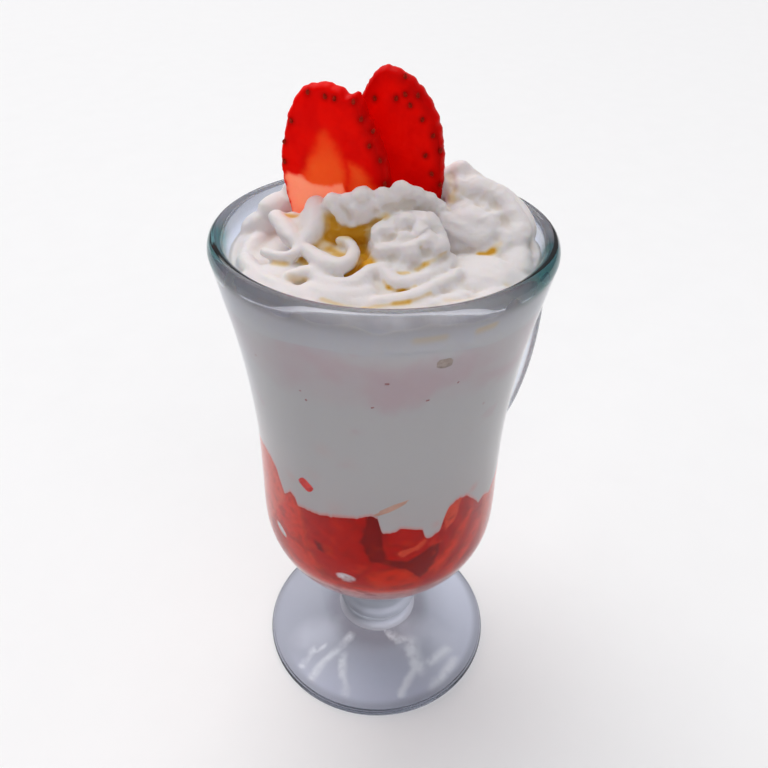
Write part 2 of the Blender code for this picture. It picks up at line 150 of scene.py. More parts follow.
def sheet_faces(rows, columns, first=0):
    """Quads between rings of vertices, row after row, each ring closed on itself."""
    row, column = np.mgrid[0:rows - 1, 0:columns]
    here = first + row * columns + column
    beside = first + row * columns + (column + 1) % columns
    return np.stack([here, beside, beside + columns, here + columns], -1).reshape(-1, 4)


def build(name, vertices, faces, crease=60):
    """A smooth-shaded object from vertices in mm, with sharp edges where it turns by crease."""
    mesh = bpy.data.meshes.new(name)
    mesh.from_pydata((np.asarray(vertices) * MM).tolist(), [], [list(face) for face in faces])
    mesh.shade_smooth()
    mesh.set_sharp_from_angle(angle=math.radians(crease))
    made = bpy.data.objects.new(name, mesh)
    bpy.context.scene.collection.objects.link(made)
    return made


def closed_rings(rings):
    """Vertices and faces of a stack of equal rings, each end closed by a fan."""
    rings = np.asarray(rings, float)
    rows, columns = rings.shape[:2]
    vertices = np.vstack([rings.reshape(-1, 3), rings[0].mean(0), rings[-1].mean(0)])
    faces = [tuple(face) for face in sheet_faces(rows, columns)]
    low, high = rows * columns, rows * columns + 1
    for i in range(columns):
        j = (i + 1) % columns
        faces.append((low, j, i))
        faces.append((high, (rows - 1) * columns + i, (rows - 1) * columns + j))
    return vertices, faces


def turned(outline, sides):
    """Rings of a turned shape from radius and height in mm."""
    angles = np.linspace(0, 2 * math.pi, sides, endpoint=False)
    radius, height = outline[:, 0, None], outline[:, 1, None]
    return np.stack([radius * np.cos(angles), radius * np.sin(angles),
                     np.broadcast_to(height, (len(outline), sides))], -1)


def glass_outline():
    """Half outline, from the middle of the underside round the rim to the middle of the bowl."""
    underside = [(AXIS_RING, 0.0), (UNDERSIDE_RING, 0.0)]
    edge = oval((FOOT_RADIUS - FOOT_EDGE, FOOT_EDGE), (FOOT_EDGE, FOOT_EDGE), -90, 60, 8)
    outside = through(FOOT_TOP + STEM + BOWL, 6)
    (outer, bead_foot), inner = BOWL[-1], BOWL_INSIDE[-1][0]
    bead = oval(((outer + inner) / 2, bead_foot),
                ((outer - inner) / 2, RIM_HEIGHT - bead_foot), 0, 180, 18)
    lining = through(BOWL_INSIDE, 6)[::-1]
    middle = [(AXIS_RING, BOWL_INSIDE[0][1])]
    return np.vstack([underside, edge, outside[:-1], bead[:-1], lining[:-1], middle])


def handle_rings():
    """Oval sections along the ear, which enter the bowl level and swell where they run into it."""
    path = through(HANDLE, 10)
    along = np.gradient(path, axis=0)
    along[[0, -1], 1] = 0.0
    along /= np.linalg.norm(along, axis=1)[:, None]
    angles = np.linspace(0, 2 * math.pi, HANDLE_SIDES, endpoint=False)
    share = np.linspace(-1, 1, len(path))
    swells = 1 + HANDLE_SWELL * np.abs(share) ** 6 + HANDLE_FLARE * np.abs(share) ** 24
    rings = []
    for point, way, swell in zip(path, along, swells):
        thick = HANDLE_THICK * swell * np.cos(angles)
        rings.append(np.column_stack([point[0] + way[1] * thick,
                                      HANDLE_WIDE * swell * np.sin(angles),
                                      point[1] - way[0] * thick]))
    return rings


class Wire:
    """A shader socket that can be used in sums."""

    def __init__(self, socket):
        self.socket = socket

    def node(self, kind, settings=(), inputs=(), output=0):
        """Another node of the same material: its settings are set first, then its sockets."""
        made = self.socket.id_data.nodes.new("ShaderNode" + kind)
        for name, value in dict(settings).items():
            if name == "stops":
                ramp = made.color_ramp
                while len(ramp.elements) < len(value):
                    ramp.elements.new(1.0)
                for element, (place, colour) in zip(ramp.elements, value):
                    element.position = place
                    element.color = (*colour, 1.0)
            else:
                setattr(made, name, value)
        for name, value in dict(inputs).items():
            if isinstance(value, Wire):
                self.socket.id_data.links.new(value.socket, made.inputs[name])
            else:
                made.inputs[name].default_value = value
        return Wire(made.outputs[output])

    def reckon(self, operation, first, second):
        """One step of arithmetic on two numbers."""
        return self.node("Math", {"operation": operation}, {0: first, 1: second})

    def __add__(self, other):
        return self.reckon("ADD", self, other)

    def __radd__(self, other):
        return self.reckon("ADD", other, self)

    def __sub__(self, other):
        return self.reckon("SUBTRACT", self, other)

    def __rsub__(self, other):
        return self.reckon("SUBTRACT", other, self)

    def __mul__(self, other):
        return self.reckon("MULTIPLY", self, other)

    def __rmul__(self, other):
        return self.reckon("MULTIPLY", other, self)

    def __truediv__(self, other):
        return self.reckon("DIVIDE", self, other)

    def __pow__(self, other):
        return self.reckon("POWER", self, other)

    def rise(self, low, high, start=0.0, end=1.0):
        """Start below low and end above high, with a soft step between."""
        settings = {"interpolation_type": "SMOOTHSTEP"}
        return self.node("MapRange", settings, {"Value": self, "From Min": low, "From Max": high,
                                                "To Min": start, "To Max": end})

    def band(self, low, high):
        """The same for a place or a distance, with low and high in mm."""
        return self.rise(low * MM, high * MM)

    def blend(self, first, second):
        """The first colour where this is 0 and the second where it is 1."""
        settings = {"data_type": "RGBA"}
        inputs = {"Factor": self}
        for slot, colour in ((6, first), (7, second)):
            inputs[slot] = colour if isinstance(colour, Wire) else (*colour, 1.0)
        return self.node("Mix", settings, inputs, 2)

    def noise(self, place, scale, detail=3.0, rough=0.5, distort=0.0):
        """Cloudy noise, scale in bumps to a metre."""
        return self.node("TexNoise", (), {"Vector": place, "Scale": scale, "Detail": detail,
                                          "Roughness": rough, "Distortion": distort})


def new_finish(name):
    """A new material, its output node, and a wire that carries the place on the object."""
    material = bpy.data.materials.new(name)
    material.use_nodes = True
    tree = material.node_tree
    tree.nodes.clear()
    out = tree.nodes.new("ShaderNodeOutputMaterial")
    place = Wire(tree.nodes.new("ShaderNodeTexCoord").outputs["Object"])
    return material, out, place


def end_finish(out, surface, volume=None):
    """Join the shaders to the output."""
    out.id_data.links.new(surface.socket, out.inputs["Surface"])
    if volume is not None:
        out.id_data.links.new(volume.socket, out.inputs["Volume"])


def split(place):
    """A place's three coordinates."""
    outputs = place.node("SeparateXYZ", (), {0: place}).socket.node.outputs
    return [Wire(output) for output in outputs]


def from_axis(across, back):
    """Distance from the glass's axis."""
    return (across * across + back * back) ** 0.5


def layered(colour, *coats):
    """A colour with others laid over it in turn, each where its cover is 1."""
    for cover, over in coats:
        colour = cover.blend(colour, over)
    return colour


def relief(height, strength, depth):
    """Normals for small relief, its depth in mm."""
    return height.node("Bump", (), {"Strength": strength, "Distance": depth * MM,
                                    "Height": height})


def near_lines(flat, lines):
    """1 on the given lines of a horizontal plane, fading to 0 at twice their half widths."""
    total = None
    for wide, points in lines:
        for start, end in zip(points, points[1:]):
            start, end = Vector((*start, 0)) * MM, Vector((*end, 0)) * MM
            side = end - start
            offset = flat.node("VectorMath", {"operation": "SUBTRACT"}, {0: flat, 1: start})
            along = flat.node("VectorMath", {"operation": "DOT_PRODUCT"}, {0: offset, 1: side}, 1)
            share = flat.node("Math", {"operation": "DIVIDE", "use_clamp": True},
                              {0: along, 1: side.length_squared})
            nearest = flat.node("VectorMath", {"operation": "SCALE"}, {0: side, "Scale": share})
            away = flat.node("VectorMath", {"operation": "DISTANCE"}, {0: offset, 1: nearest}, 1)
            cover = away.band(wide * 2.0, wide * 0.1)
            total = cover if total is None else total.reckon("MAXIMUM", total, cover)
    return total


def glass_finish():
    """Clear glass, greener in its thick rim and faintly wavy from the mould, with light and shade
    painted into its tint round the rim, on its sides, stem and foot, and painted streaks of light
    in the foot.
    """
    material, out, place = new_finish("clear_glass")
    across, back, height = split(place)
    seen = place.node("VectorRotate", {"rotation_type": "Z_AXIS"},
                      {"Vector": place, "Angle": -SERVED_TURN})
    seen_across, seen_back, _ = split(seen)
    wander = place.noise(place, 230.0, 3.0, 0.55)
    flat = place.node("VectorMath", {"operation": "MULTIPLY_ADD"}, {
        0: seen, 1: (1.0, 1.0, 0.0), 2: (wander - 0.5) * (STREAK_SWAY * MM)})
    radius = from_axis(across, back)
    # Painted light and shade round the rim, over its thick green glass.
    round_rim = across.reckon("ARCTAN2", back, across) / (2 * math.pi) + 0.5
    rim_green_and_painted_shading = round_rim.node("ValToRGB", {"stops": RIM_GREEN_AND_PAINTED_SHADING}, {0: round_rim})
    bead = height.band(132.5, 135.2)
    # Painted bluish reflection on the sides of the bowl, where they are seen edge on.
    sides = (seen_across.band(-25, -34) + seen_across.band(29, 36)) * height.band(85, 110)
    ear = across.band(36.5, 38.5) * height.band(131.0, 129.5)
    stem = height.band(30, 26) * height.band(10.0, 10.4)
    foot = height.band(11.2, 10.2)
    foot_edge = radius.band(30.2, 32.6) * height.band(6, 3)
    underside = height.band(1.2, 0.4)
    # Painted streaks of light in the foot, brighter and fainter along their length.
    glints = near_lines(flat, STREAKS) * wander.rise(0.34, 0.60, 0.35, 1.0)
    # Painted light and shade in the foot: darker at the back, lighter at the front and right,
    # darker round the stem, with painted sheens and streaks of light.
    foot_painted_light_and_shade = layered(
        seen_back.band(-10, -28).blend(FOOT_BACK_PAINTED_SHADE, FOOT_FRONT_PAINTED_LIGHT),
        (seen_across.band(10, 26) * 0.8, FOOT_RIGHT_PAINTED_LIGHT), (radius.band(18, 13), FLARE_PAINTED_SHADE),
        (near_lines(flat, SHEENS) * 0.5, PAINTED_SHEEN), (glints, PAINTED_STREAK_LIGHT))
    # The glass's own tints, with painted light and shade laid over them on the sides, the foot,
    # the stem, the rim and the foot's edge.
    tint = layered(
        height.band(126.0, 131.5).blend(WALL_TINT, UPPER_WALL_TINT), (sides, EDGE_ON_PAINTED_REFLECTION),
        (ear, EAR_TINT), (foot, foot_painted_light_and_shade), (stem, STEM_PAINTED_SHADE), (bead, rim_green_and_painted_shading),
        (foot_edge, FOOT_EDGE_PAINTED_SHADE), (underside, CLEAR))
    waves = place.noise(place, 60.0, 1.0)
    clear = place.node("BsdfPrincipled", (), {
        "Base Color": tint, "Roughness": stem * 0.60 + foot_edge * 0.12 + ear * 0.22, "IOR": 1.5,
        "Transmission Weight": 1.0, "Normal": relief(waves, 0.25, 0.6), "Specular Tint": GLINT})
    lit = place.node("BsdfTransparent", (), {"Color": LIGHT_THROUGH})
    in_shadow = place.node("LightPath", output=1)
    surface = place.node("MixShader", (), {0: in_shadow, 1: clear, 2: lit})
    body = place.node("VolumeAbsorption", (), {"Color": DEPTH_TINT, "Density": DEPTH_DENSITY})
    end_finish(out, surface, body)
    return material


def make_glass():
    """Turn the mug, bend its ear, and run the two into one."""
    vertices, faces = closed_rings(turned(glass_outline(), GLASS_SIDES))
    glass = build("pressed_glass", vertices, faces)
    ear = build("ear", *closed_rings(handle_rings()))
    for piece in (glass, ear):
        bm = bmesh.new()
        bm.from_mesh(piece.data)
        bmesh.ops.recalc_face_normals(bm, faces=bm.faces)
        bm.to_mesh(piece.data)
        bm.free()
    join = glass.modifiers.new("join", "BOOLEAN")
    join.operation = "UNION"
    join.solver = "EXACT"
    join.object = ear
    shown = glass.evaluated_get(bpy.context.evaluated_depsgraph_get())
    glass.data = bpy.data.meshes.new_from_object(shown)
    glass.modifiers.clear()
    bpy.data.objects.remove(ear)
    glass.data.shade_smooth()
    glass.data.set_sharp_from_angle(angle=math.radians(GLASS_CREASE))
    return glass


glass = make_glass()
glass.data.materials.clear()
glass.data.materials.append(glass_finish())
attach(glass, "root")
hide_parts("glass")

# ---- The chopped strawberries ---------------------------------------------------------------
# Ripe berries chopped and spooned into the bottom of the bowl, where they lie in their own
# juice, pressed flat by the glass.  Each cut piece shows its own red: dark skin, wet flesh,
# paler cut edges.  They reach just into the wall, so that no air shows between.

INTO_WALL = 0.15
# How far a layer's foot goes in and down behind the layer below it.
TUCK_IN = 0.04
TUCK_DOWN = 0.5
# Radius at which places on the fruit are measured round the wall.
FRUIT_RADIUS = 27.5
MM_PER_DEGREE = math.radians(FRUIT_RADIUS)
JUICE_DARK = (0.28, 0.0, 0.0)
FLESH = (0.64, 0.004, 0.0)
FLESH_BRIGHT = (0.90, 0.026, 0.0)
FLESH_PALE = (0.90, 0.085, 0.035)
# White for the ovals on the fruit.
WHITE_OVAL = (1.0, 0.92, 0.94)
# Painted pale band low on the fruit, standing in for the pale blur of the glass's thick bottom,
# and how much of it is laid on.
BOTTOM_PAINTED_LIGHT = (0.95, 0.62, 0.60)
BOTTOM_PAINTED_LIGHT_SHARE = 0.8
# Fine fibres and wet spots, and painted shade in a line just inside a cut piece's edge, where the
# pieces meet.
FIBRE_DARK = (0.34, 0.0, 0.0)
WET_BRIGHT = (0.95, 0.05, 0.008)
CUT_EDGE_PAINTED_SHADE = 0.22
CUT_EDGE_WIDE = 0.5
# Cut pieces strewn round the back, where they begin and how far they go in degrees.
BACK_PIECES = 34
BACK_CORNERS = 7
BACK_FROM = 100
BACK_SWEEP = 160
GOLDEN_SHARE = 0.618
CLOUD_WAVES = 5
# Height of the heap's middle, and rows of points up its wall and in over its top.
HEAP_MIDDLE = 68.0
HEAP_ROWS = 96
HEAP_CAP_ROWS = 10
# Top of the heap where it meets the glass: degrees round from the front, height.
HEAP_LINE = [(-180, 70.0), (-160, 74.0), (-146, 68.0), (-128, 76.5), (-112, 70.0), (-96, 77.0),
             (-84, 84.0), (-66, 85.2), (-60, 84.4), (-56, 82.7), (-51.4, 77.2), (-50, 75.9),
             (-45.5, 78.3), (-43, 77.4), (-41, 75.3), (-35, 75.5), (-28, 75.8), (-20, 76.8),
             (-8, 78.1), (-4, 79.2), (-0.6, 78.4), (1.6, 73.4), (5, 73.2), (11, 74.6),
             (20.8, 73.0), (22.4, 69.6), (25, 69.3), (30, 70.6), (32.4, 75.6), (34, 77.6),
             (38, 79.0), (44.6, 78.5), (50, 75.4), (55, 72.2), (60, 72.9), (66, 71.0),
             (74, 74.0), (88, 79.0), (104, 72.0), (122, 76.0), (140, 69.0), (160, 75.0),
             (180, 70.0)]
# Cut pieces as they press on the glass, each a many-sided patch: tone, edge softness in mm,
# then corners as degrees round from the front and height.
PATCHES = [
    (FLESH, 0.5, [(-44, 78), (-30, 77), (-8, 80), (1, 80), (2, 66), (-4, 60), (-12, 53), (-34, 50),
                  (-44, 58)]),
    (FLESH_BRIGHT, 0.8, [(-62, 70), (-46, 79), (-38, 74), (-36, 62), (-30, 55), (-30, 48),
                         (-60, 48)]),
    (FLESH_PALE, 1.0, [(-100, 90), (-62, 87), (-52, 79), (-50, 74), (-60, 66), (-76, 52),
                       (-100, 52)]),
    (FLESH_BRIGHT, 0.9, [(-58, 56), (-40, 52), (-16, 51.5), (12, 50.5), (26, 52), (26, 46),
                         (-58, 46)]),
    (JUICE_DARK, 1.1, [(-5, 80), (1, 80), (2, 70), (4, 64), (14, 62), (26, 66), (32, 66),
                       (28, 56), (22, 53), (8, 61), (-4, 63), (-8, 70)]),
    (FLESH, 0.5, [(2, 74), (11, 76), (23, 75), (21, 70), (12, 67.5), (3, 69)]),
    (FLESH_PALE, 0.45, [(9, 65.6), (12, 64.6), (19, 65.6), (24, 68.6), (22.5, 69.4), (17, 67.4),
                        (11, 67)]),
    (FLESH_BRIGHT, 0.5, [(-8, 56), (-2, 58.6), (6, 60), (13, 59.4), (19, 56.4), (24, 52.4),
                         (14, 50), (-2, 51)]),
    (FLESH, 0.6, [(30, 72), (36, 80), (48, 80), (58, 74), (64, 66), (56, 58), (44, 54), (32, 60)]),
    (FLESH_PALE, 0.8, [(31, 76), (36, 80.5), (41, 79), (39, 73), (34, 70)]),
    (FLESH_BRIGHT, 0.8, [(27, 57), (33, 62), (44, 71), (50, 75), (52, 70), (42, 61), (33, 52)]),
    (FLESH_BRIGHT, 0.8, [(36, 52), (45, 59), (58, 70), (66, 73), (70, 68), (58, 58), (46, 49)]),
    (FLESH_PALE, 1.2, [(58, 74), (72, 76), (100, 82), (100, 50), (70, 50), (62, 62)]),
    (JUICE_DARK, 0.8, [(-31.5, 65.6), (-28, 65.4), (-27.6, 63), (-31, 62.6)]),
    (FLESH_BRIGHT, 0.8, [(-27.2, 65.4), (-23, 66), (-22, 62.6), (-26.6, 62)]),
]
# White ovals on the fruit: degrees, height, half sizes, tilt in degrees.
WHITE_OVALS = [(-17.0, 54.4, 2.5, 1.7, -6.0), (-57.0, 60.2, 2.2, 1.5, -42.0)]
# Degrees round the wall, closer together where the food is seen.
WALL_COLUMNS = np.concatenate([np.linspace(-180, -96, 64, endpoint=False),
                               np.linspace(-96, 96, 312, endpoint=False),
                               np.linspace(96, 180, 64, endpoint=False)])
inside_curve = through(BOWL_INSIDE, 8)


def wall_radius(height):
    """Radius of the bowl's inside at a height, and a little more."""
    return np.interp(height, inside_curve[:, 1], inside_curve[:, 0]) + INTO_WALL


def degrees_round(places):
    """Degrees round the glass from the front, for places in food coordinates."""
    return np.degrees(np.arctan2(places[:, 0], -places[:, 1]))


def round_wall(columns, rings):
    """Rings of places from radius and height in mm at each of the given degrees round."""
    angles = np.radians(columns)
    return np.array([np.column_stack([radius * np.sin(angles), -radius * np.cos(angles), height])
                     for radius, height in rings])


def ripple(degrees, waves, seed):
    """A few sine waves round the glass, between about -1 and 1."""
    draw = np.random.default_rng(seed)
    total = np.zeros_like(degrees, dtype=float)
    for wave in waves:
        total += np.sin(np.radians(degrees) * wave + draw.uniform(0, 2 * math.pi))
    return total / len(waves)


def cloud(points, size, seed, octaves=3):
    """Cheap smooth noise at points in mm: sums of sine waves in random directions."""
    draw = np.random.default_rng(seed)
    total, weight = np.zeros(len(points)), 1.0
    for _ in range(octaves):
        for _ in range(CLOUD_WAVES):
            way = draw.normal(size=points.shape[1])
            way *= 2 * math.pi / (np.linalg.norm(way) * size * draw.uniform(0.8, 1.25))
            total += weight * np.sin(points @ way + draw.uniform(0, 2 * math.pi))
        size, weight = size / 2.1, weight * 0.5
    return total / CLOUD_WAVES


def heap_line(degrees):
    """Height of the strawberries where they meet the glass, more crumbled at the back."""
    angles, heights = zip(*HEAP_LINE)
    back = np.clip((np.abs(degrees) - 92) / 16, 0, 1)
    return (np.interp(degrees, angles, heights) + 0.26 * ripple(degrees, (38, 61, 83, 117), 4)
            + 0.12 * ripple(degrees, (140, 171, 205), 6)
            + 1.9 * back * ripple(degrees, (11, 17, 26, 43), 9))


def poured(columns, low, high, wall_rows, cap_rows):
    """Rings of something that fills the glass between two heights given round the wall.

    Its foot tucks in behind the layer below, so that no gap shows between them, and the inner
    rings of each end sink or rise smoothly to the mean height."""
    def end(heights, shares):
        """Heights of the rings of one end, each at its share of the way out."""
        middle = heights.mean()
        return [(share, middle + (heights - middle) * share ** 2) for share in shares]

    rings = []
    for share, heights in end(low - TUCK_DOWN, np.linspace(0.001, 1, cap_rows)):
        rings.append(((wall_radius(heights) - TUCK_IN) * share, heights))
    for share in np.linspace(0, 1, wall_rows):
        heights = low + (high - low) * share
        rings.append((wall_radius(heights), heights))
    for share, heights in end(high, np.linspace(1, 0.001, cap_rows)[1:]):
        rings.append((wall_radius(heights) * share, heights))
    return round_wall(columns, rings)


def serve(piece):
    """Turn food from how it is seen to how it sits beside the handle."""
    piece.data.transform(Matrix.Rotation(SERVED_TURN, 4, "Z"))


def inside(points, corners):
    """Signed distance in mm to a polygon, positive inside."""
    corners = np.asarray(corners, float)
    distance = np.full(len(points), 1e9)
    within = np.zeros(len(points), bool)
    for start, end in zip(corners, np.roll(corners, -1, 0)):
        side, offset = end - start, points - start
        share = np.clip(offset @ side / (side @ side), 0, 1)
        distance = np.minimum(distance, np.linalg.norm(offset - share[:, None] * side, axis=1))
        crossed = (start[1] > points[:, 1]) != (end[1] > points[:, 1])
        lever = np.where(crossed, points[:, 1] - start[1], 0.0) / (end[1] - start[1] + 1e-12)
        within ^= crossed & (points[:, 0] < start[0] + lever * side[0])
    return np.where(within, distance, -distance)


def soft_step(value, low, high):
    """0 below low and 1 above high, with a soft step between."""
    share = np.clip((value - low) / (high - low), 0, 1)
    return share * share * (3 - 2 * share)


def mixed(colours, tone, cover):
    """The colours at the vertices with a tone laid over them, by its cover at each."""
    return colours * (1 - cover[:, None]) + np.array(tone) * cover[:, None]


def back_patches():
    """Cut pieces round the back, strewn evenly, in mm round the wall and up."""
    draw = np.random.default_rng(5)
    tones = (FLESH, FLESH_BRIGHT, FLESH_PALE, JUICE_DARK, FLESH_BRIGHT)
    patches = []
    for i in range(BACK_PIECES):
        turn = BACK_FROM + BACK_SWEEP * ((i * GOLDEN_SHARE) % 1.0)
        across = (turn if turn < 180 else turn - 360) * MM_PER_DEGREE
        middle = np.array([across, draw.uniform(50, 78)])
        angles = np.sort(draw.uniform(0, 2 * math.pi, BACK_CORNERS))
        reach = draw.uniform(3.0, 7.0, BACK_CORNERS)
        corners = middle + np.column_stack([np.cos(angles), np.sin(angles)]) * reach[:, None]
        patches.append((tones[i % len(tones)], draw.uniform(0.4, 1.0), corners))
    return patches


def fruit_colours(vertices):
    """The colour of the fruit at each vertex, in food coordinates in mm, with painted shade just
    inside the cut pieces' edges and a painted pale band low down.
    """
    spot = np.column_stack([degrees_round(vertices) * MM_PER_DEGREE, vertices[:, 2]])
    wobble = np.column_stack([cloud(spot, 4.0, 11), cloud(spot, 4.0, 12)]) * 0.45
    front = [(tone, soft, np.array(corners) * (MM_PER_DEGREE, 1))
             for tone, soft, corners in PATCHES]
    colours = np.tile(np.array(FLESH), (len(vertices), 1))
    for tone, soft, corners in back_patches() + front:
        depth = inside(spot + wobble, corners)
        colours = mixed(colours, tone, soft_step(depth, -soft * 0.5, soft * 0.5))
        # Painted shade just inside the edge of each piece but the pale ones, where the pieces
        # meet.
        if tone is not FLESH_PALE:
            edge = np.exp(-((depth - CUT_EDGE_WIDE) / CUT_EDGE_WIDE) ** 2)[:, None]
            colours *= 1 - CUT_EDGE_PAINTED_SHADE * edge
    for turn, height, wide, tall, tilt in WHITE_OVALS:
        offset = spot + wobble * 0.3 - (turn * MM_PER_DEGREE, height)
        tilt = math.radians(tilt)
        along = offset @ (math.cos(tilt), math.sin(tilt))
        over = offset @ (-math.sin(tilt), math.cos(tilt))
        colours = mixed(colours, WHITE_OVAL, soft_step(-np.hypot(along / wide, over / tall),
                                                -1.15, -0.75))
    # Painted pale band low down, for the blur of the glass's thick bottom.
    low = soft_step(-vertices[:, 2], -49.6, -46.8)
    return mixed(colours, BOTTOM_PAINTED_LIGHT, low * BOTTOM_PAINTED_LIGHT_SHARE)


def paint(piece, name, values):
    """Store a number or a colour at each vertex."""
    values = np.asarray(values, np.float32)
    if values.ndim == 1:
        piece.data.attributes.new(name, "FLOAT", "POINT").data.foreach_set("value", values)
    else:
        flat = np.column_stack([values, np.ones(len(values), np.float32)]).ravel()
        piece.data.attributes.new(name, "FLOAT_COLOR", "POINT").data.foreach_set("color", flat)


def painted(place, name, output=2):
    """What was painted on the vertices: a number, or with output 0 a colour."""
    return place.node("Attribute", {"attribute_name": name}, output=output)


def fruit_finish():
    """Wet chopped fruit: its painted pieces with fine fibres and mottling."""
    material, out, place = new_finish("chopped_fruit")
    fibres = place.noise(place, 900.0, 4.0, 0.6, 0.6)
    mottle = place.noise(place, 220.0, 3.0, 0.6)
    darker = fibres.rise(0.34, 0.60) * 0.22 + mottle.rise(0.50, 0.34) * 0.34
    colour = layered(painted(place, "fruit", 0), (darker, FIBRE_DARK),
                     (mottle.rise(0.54, 0.70) * 0.30, WET_BRIGHT))
    surface = place.node("BsdfPrincipled", (), {
        "Base Color": colour, "Roughness": 0.35, "Normal": relief(mottle, 0.3, 0.4), "IOR": 1.0,
        "Subsurface Weight": 0.25, "Subsurface Radius": (1.0, 0.15, 0.08),
        "Subsurface Scale": 0.002})
    end_finish(out, surface)
    return material


heap_heights = heap_line(WALL_COLUMNS)


def heap_rings():
    """Rings up the bowl's round bottom and its wall, then in over the top of the heap."""
    bottom = through(BOWL_INSIDE[:5], 6)
    bottom[:, 0] = np.maximum(bottom[:, 0], AXIS_RING)
    whole = np.ones(len(WALL_COLUMNS))
    rings = [(whole * (radius + INTO_WALL * (radius > 1)), whole * (height - INTO_WALL))
             for radius, height in bottom[:-1]]
    base = bottom[-1, 1]
    for share in np.linspace(0, 1, HEAP_ROWS):
        heights = base + (heap_heights - base) * share
        rings.append((wall_radius(heights), heights))
    for share in np.linspace(1, 0.001, HEAP_CAP_ROWS)[1:]:
        heights = HEAP_MIDDLE + (heap_heights - HEAP_MIDDLE) * share ** 2
        rings.append((wall_radius(heights) * share, heights))
    return round_wall(WALL_COLUMNS, rings)


vertices, faces = closed_rings(heap_rings())
heap = build("chopped_strawberries", vertices, faces)
paint(heap, "fruit", fruit_colours(vertices))
heap.data.materials.append(fruit_finish())
serve(heap)
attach(heap, "root")
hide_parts("strawberry_layer")

# ---- The cream in the glass -----------------------------------------------------------------
# Thick smooth cream, poured over the fruit and settled against the glass, with a band near the
# top where some mashed fruit was stirred in and turned it faintly pink.

# Tones of the cream, greyed as painted shade for the dim light inside the glass, and the juice
# stains' own red.
CREAM_IN_PAINTED_SHADE = (0.60, 0.588, 0.592)
PINK_IN_PAINTED_SHADE = (0.60, 0.485, 0.515)
STAIN = (0.80, 0.28, 0.26)
# Where juice ran into the cream: degrees round from the front, height, reach in mm, strength.
STAINS = [(-24, 97.7, 2.6, 0.22), (-12, 95.2, 2.8, 0.18), (-30, 88.5, 2.2, 0.25),
          (-44, 84.0, 2.0, 0.3), (49, 79.5, 1.8, 0.5), (28, 73.5, 1.6, 0.4),
          (-20, 79.5, 3.0, 0.2), (8, 78.0, 2.6, 0.15), (110, 82.0, 3.0, 0.4),
          (-120, 84.0, 3.0, 0.4), (160, 80.0, 3.0, 0.3)]
CREAM_TOP = 111.5
PINK_TOP = 127.0
# How far a layer's edge waves up and down, and rows of points up each wall and over each end.
LAYER_SWAY = 1.1
CREAM_ROWS = 60
PINK_ROWS = 30
CAP_ROWS = 8


def layer_top(degrees, height, seed):
    """Height of a layer's gently waved edge at the glass."""
    return height + LAYER_SWAY * ripple(degrees, (3, 5, 8), seed)


def cream_finish():
    """Cream, greyed as painted shade, with soft pink clouds in a band and small stains near the
    fruit.
    """
    material, out, place = new_finish("settled_cream")
    clouds = place.noise(place, 70.0, 4.0, 0.55, 0.4)
    height = split(place)[2] + (clouds - 0.5) * (16 * MM)
    band = height.band(110.5, 116.0) * height.band(129.0, 123.5)
    smudge = place.noise(place, 45.0, 3.0, 0.5, 0.3).rise(0.42, 0.60)
    stain = place.noise(place, 130.0, 3.0, 0.5, 0.2).rise(0.62, 0.74) * 0.45
    pink = band * (0.35 + 0.65 * smudge) + (1 - band) * stain
    juice = (painted(place, "juice") * (0.25 + 1.1 * clouds)).rise(0.0, 1.0, 0.0, 0.85)
    surface = place.node("BsdfPrincipled", (), {
        "Base Color": layered(pink.blend(CREAM_IN_PAINTED_SHADE, PINK_IN_PAINTED_SHADE), (juice, STAIN)), "Roughness": 0.5,
        "IOR": 1.0, "Subsurface Weight": 0.15, "Subsurface Radius": (1.0, 0.8, 0.6),
        "Subsurface Scale": 0.003})
    end_finish(out, surface)
    return material


settled = cream_finish()
cream_heights = layer_top(WALL_COLUMNS, CREAM_TOP, 1)
pink_heights = layer_top(WALL_COLUMNS, PINK_TOP, 2)
for name, node, slot, low, high, rows in (
        ("cream_below", "cream_layer", "cream", heap_heights, cream_heights, CREAM_ROWS),
        ("pink_cream_above", "pink_cream_layer", "pink_cream", cream_heights, pink_heights,
         PINK_ROWS)):
    vertices, faces = closed_rings(poured(WALL_COLUMNS, low, high, rows, CAP_ROWS))
    piece = build(name, vertices, faces)
    turn = degrees_round(vertices)
    juice = soft_step(heap_line(turn) - vertices[:, 2], -1.5, 0.2)
    for degrees, up, reach, strength in STAINS:
        away = np.hypot((turn - degrees) * MM_PER_DEGREE, vertices[:, 2] - up)
        juice = juice + strength * np.exp(-(away / reach) ** 2)
    paint(piece, "juice", juice)
    piece.data.materials.append(settled)
    serve(piece)
    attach(piece, "root")
    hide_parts(node)

# ---- Bits against the glass -----------------------------------------------------------------
# A chip of berry, a pale crumb, a thin sliver of fruit and a few dark specks that were caught
# between the cream and the wall, and pressed flat by it.

# How far a bit goes into the glass beyond the food, and the wall's radius about there.
PRESSED_IN = 0.04
BIT_RADIUS = 28.0


def wall_point(degrees, height, proud=0.0):
    """A place on the inside of the wall in mm; proud goes further into the glass."""
    radius = wall_radius(height) + proud
    angle = math.radians(degrees)
    return np.array([radius * math.sin(angle), -radius * math.cos(angle), height])


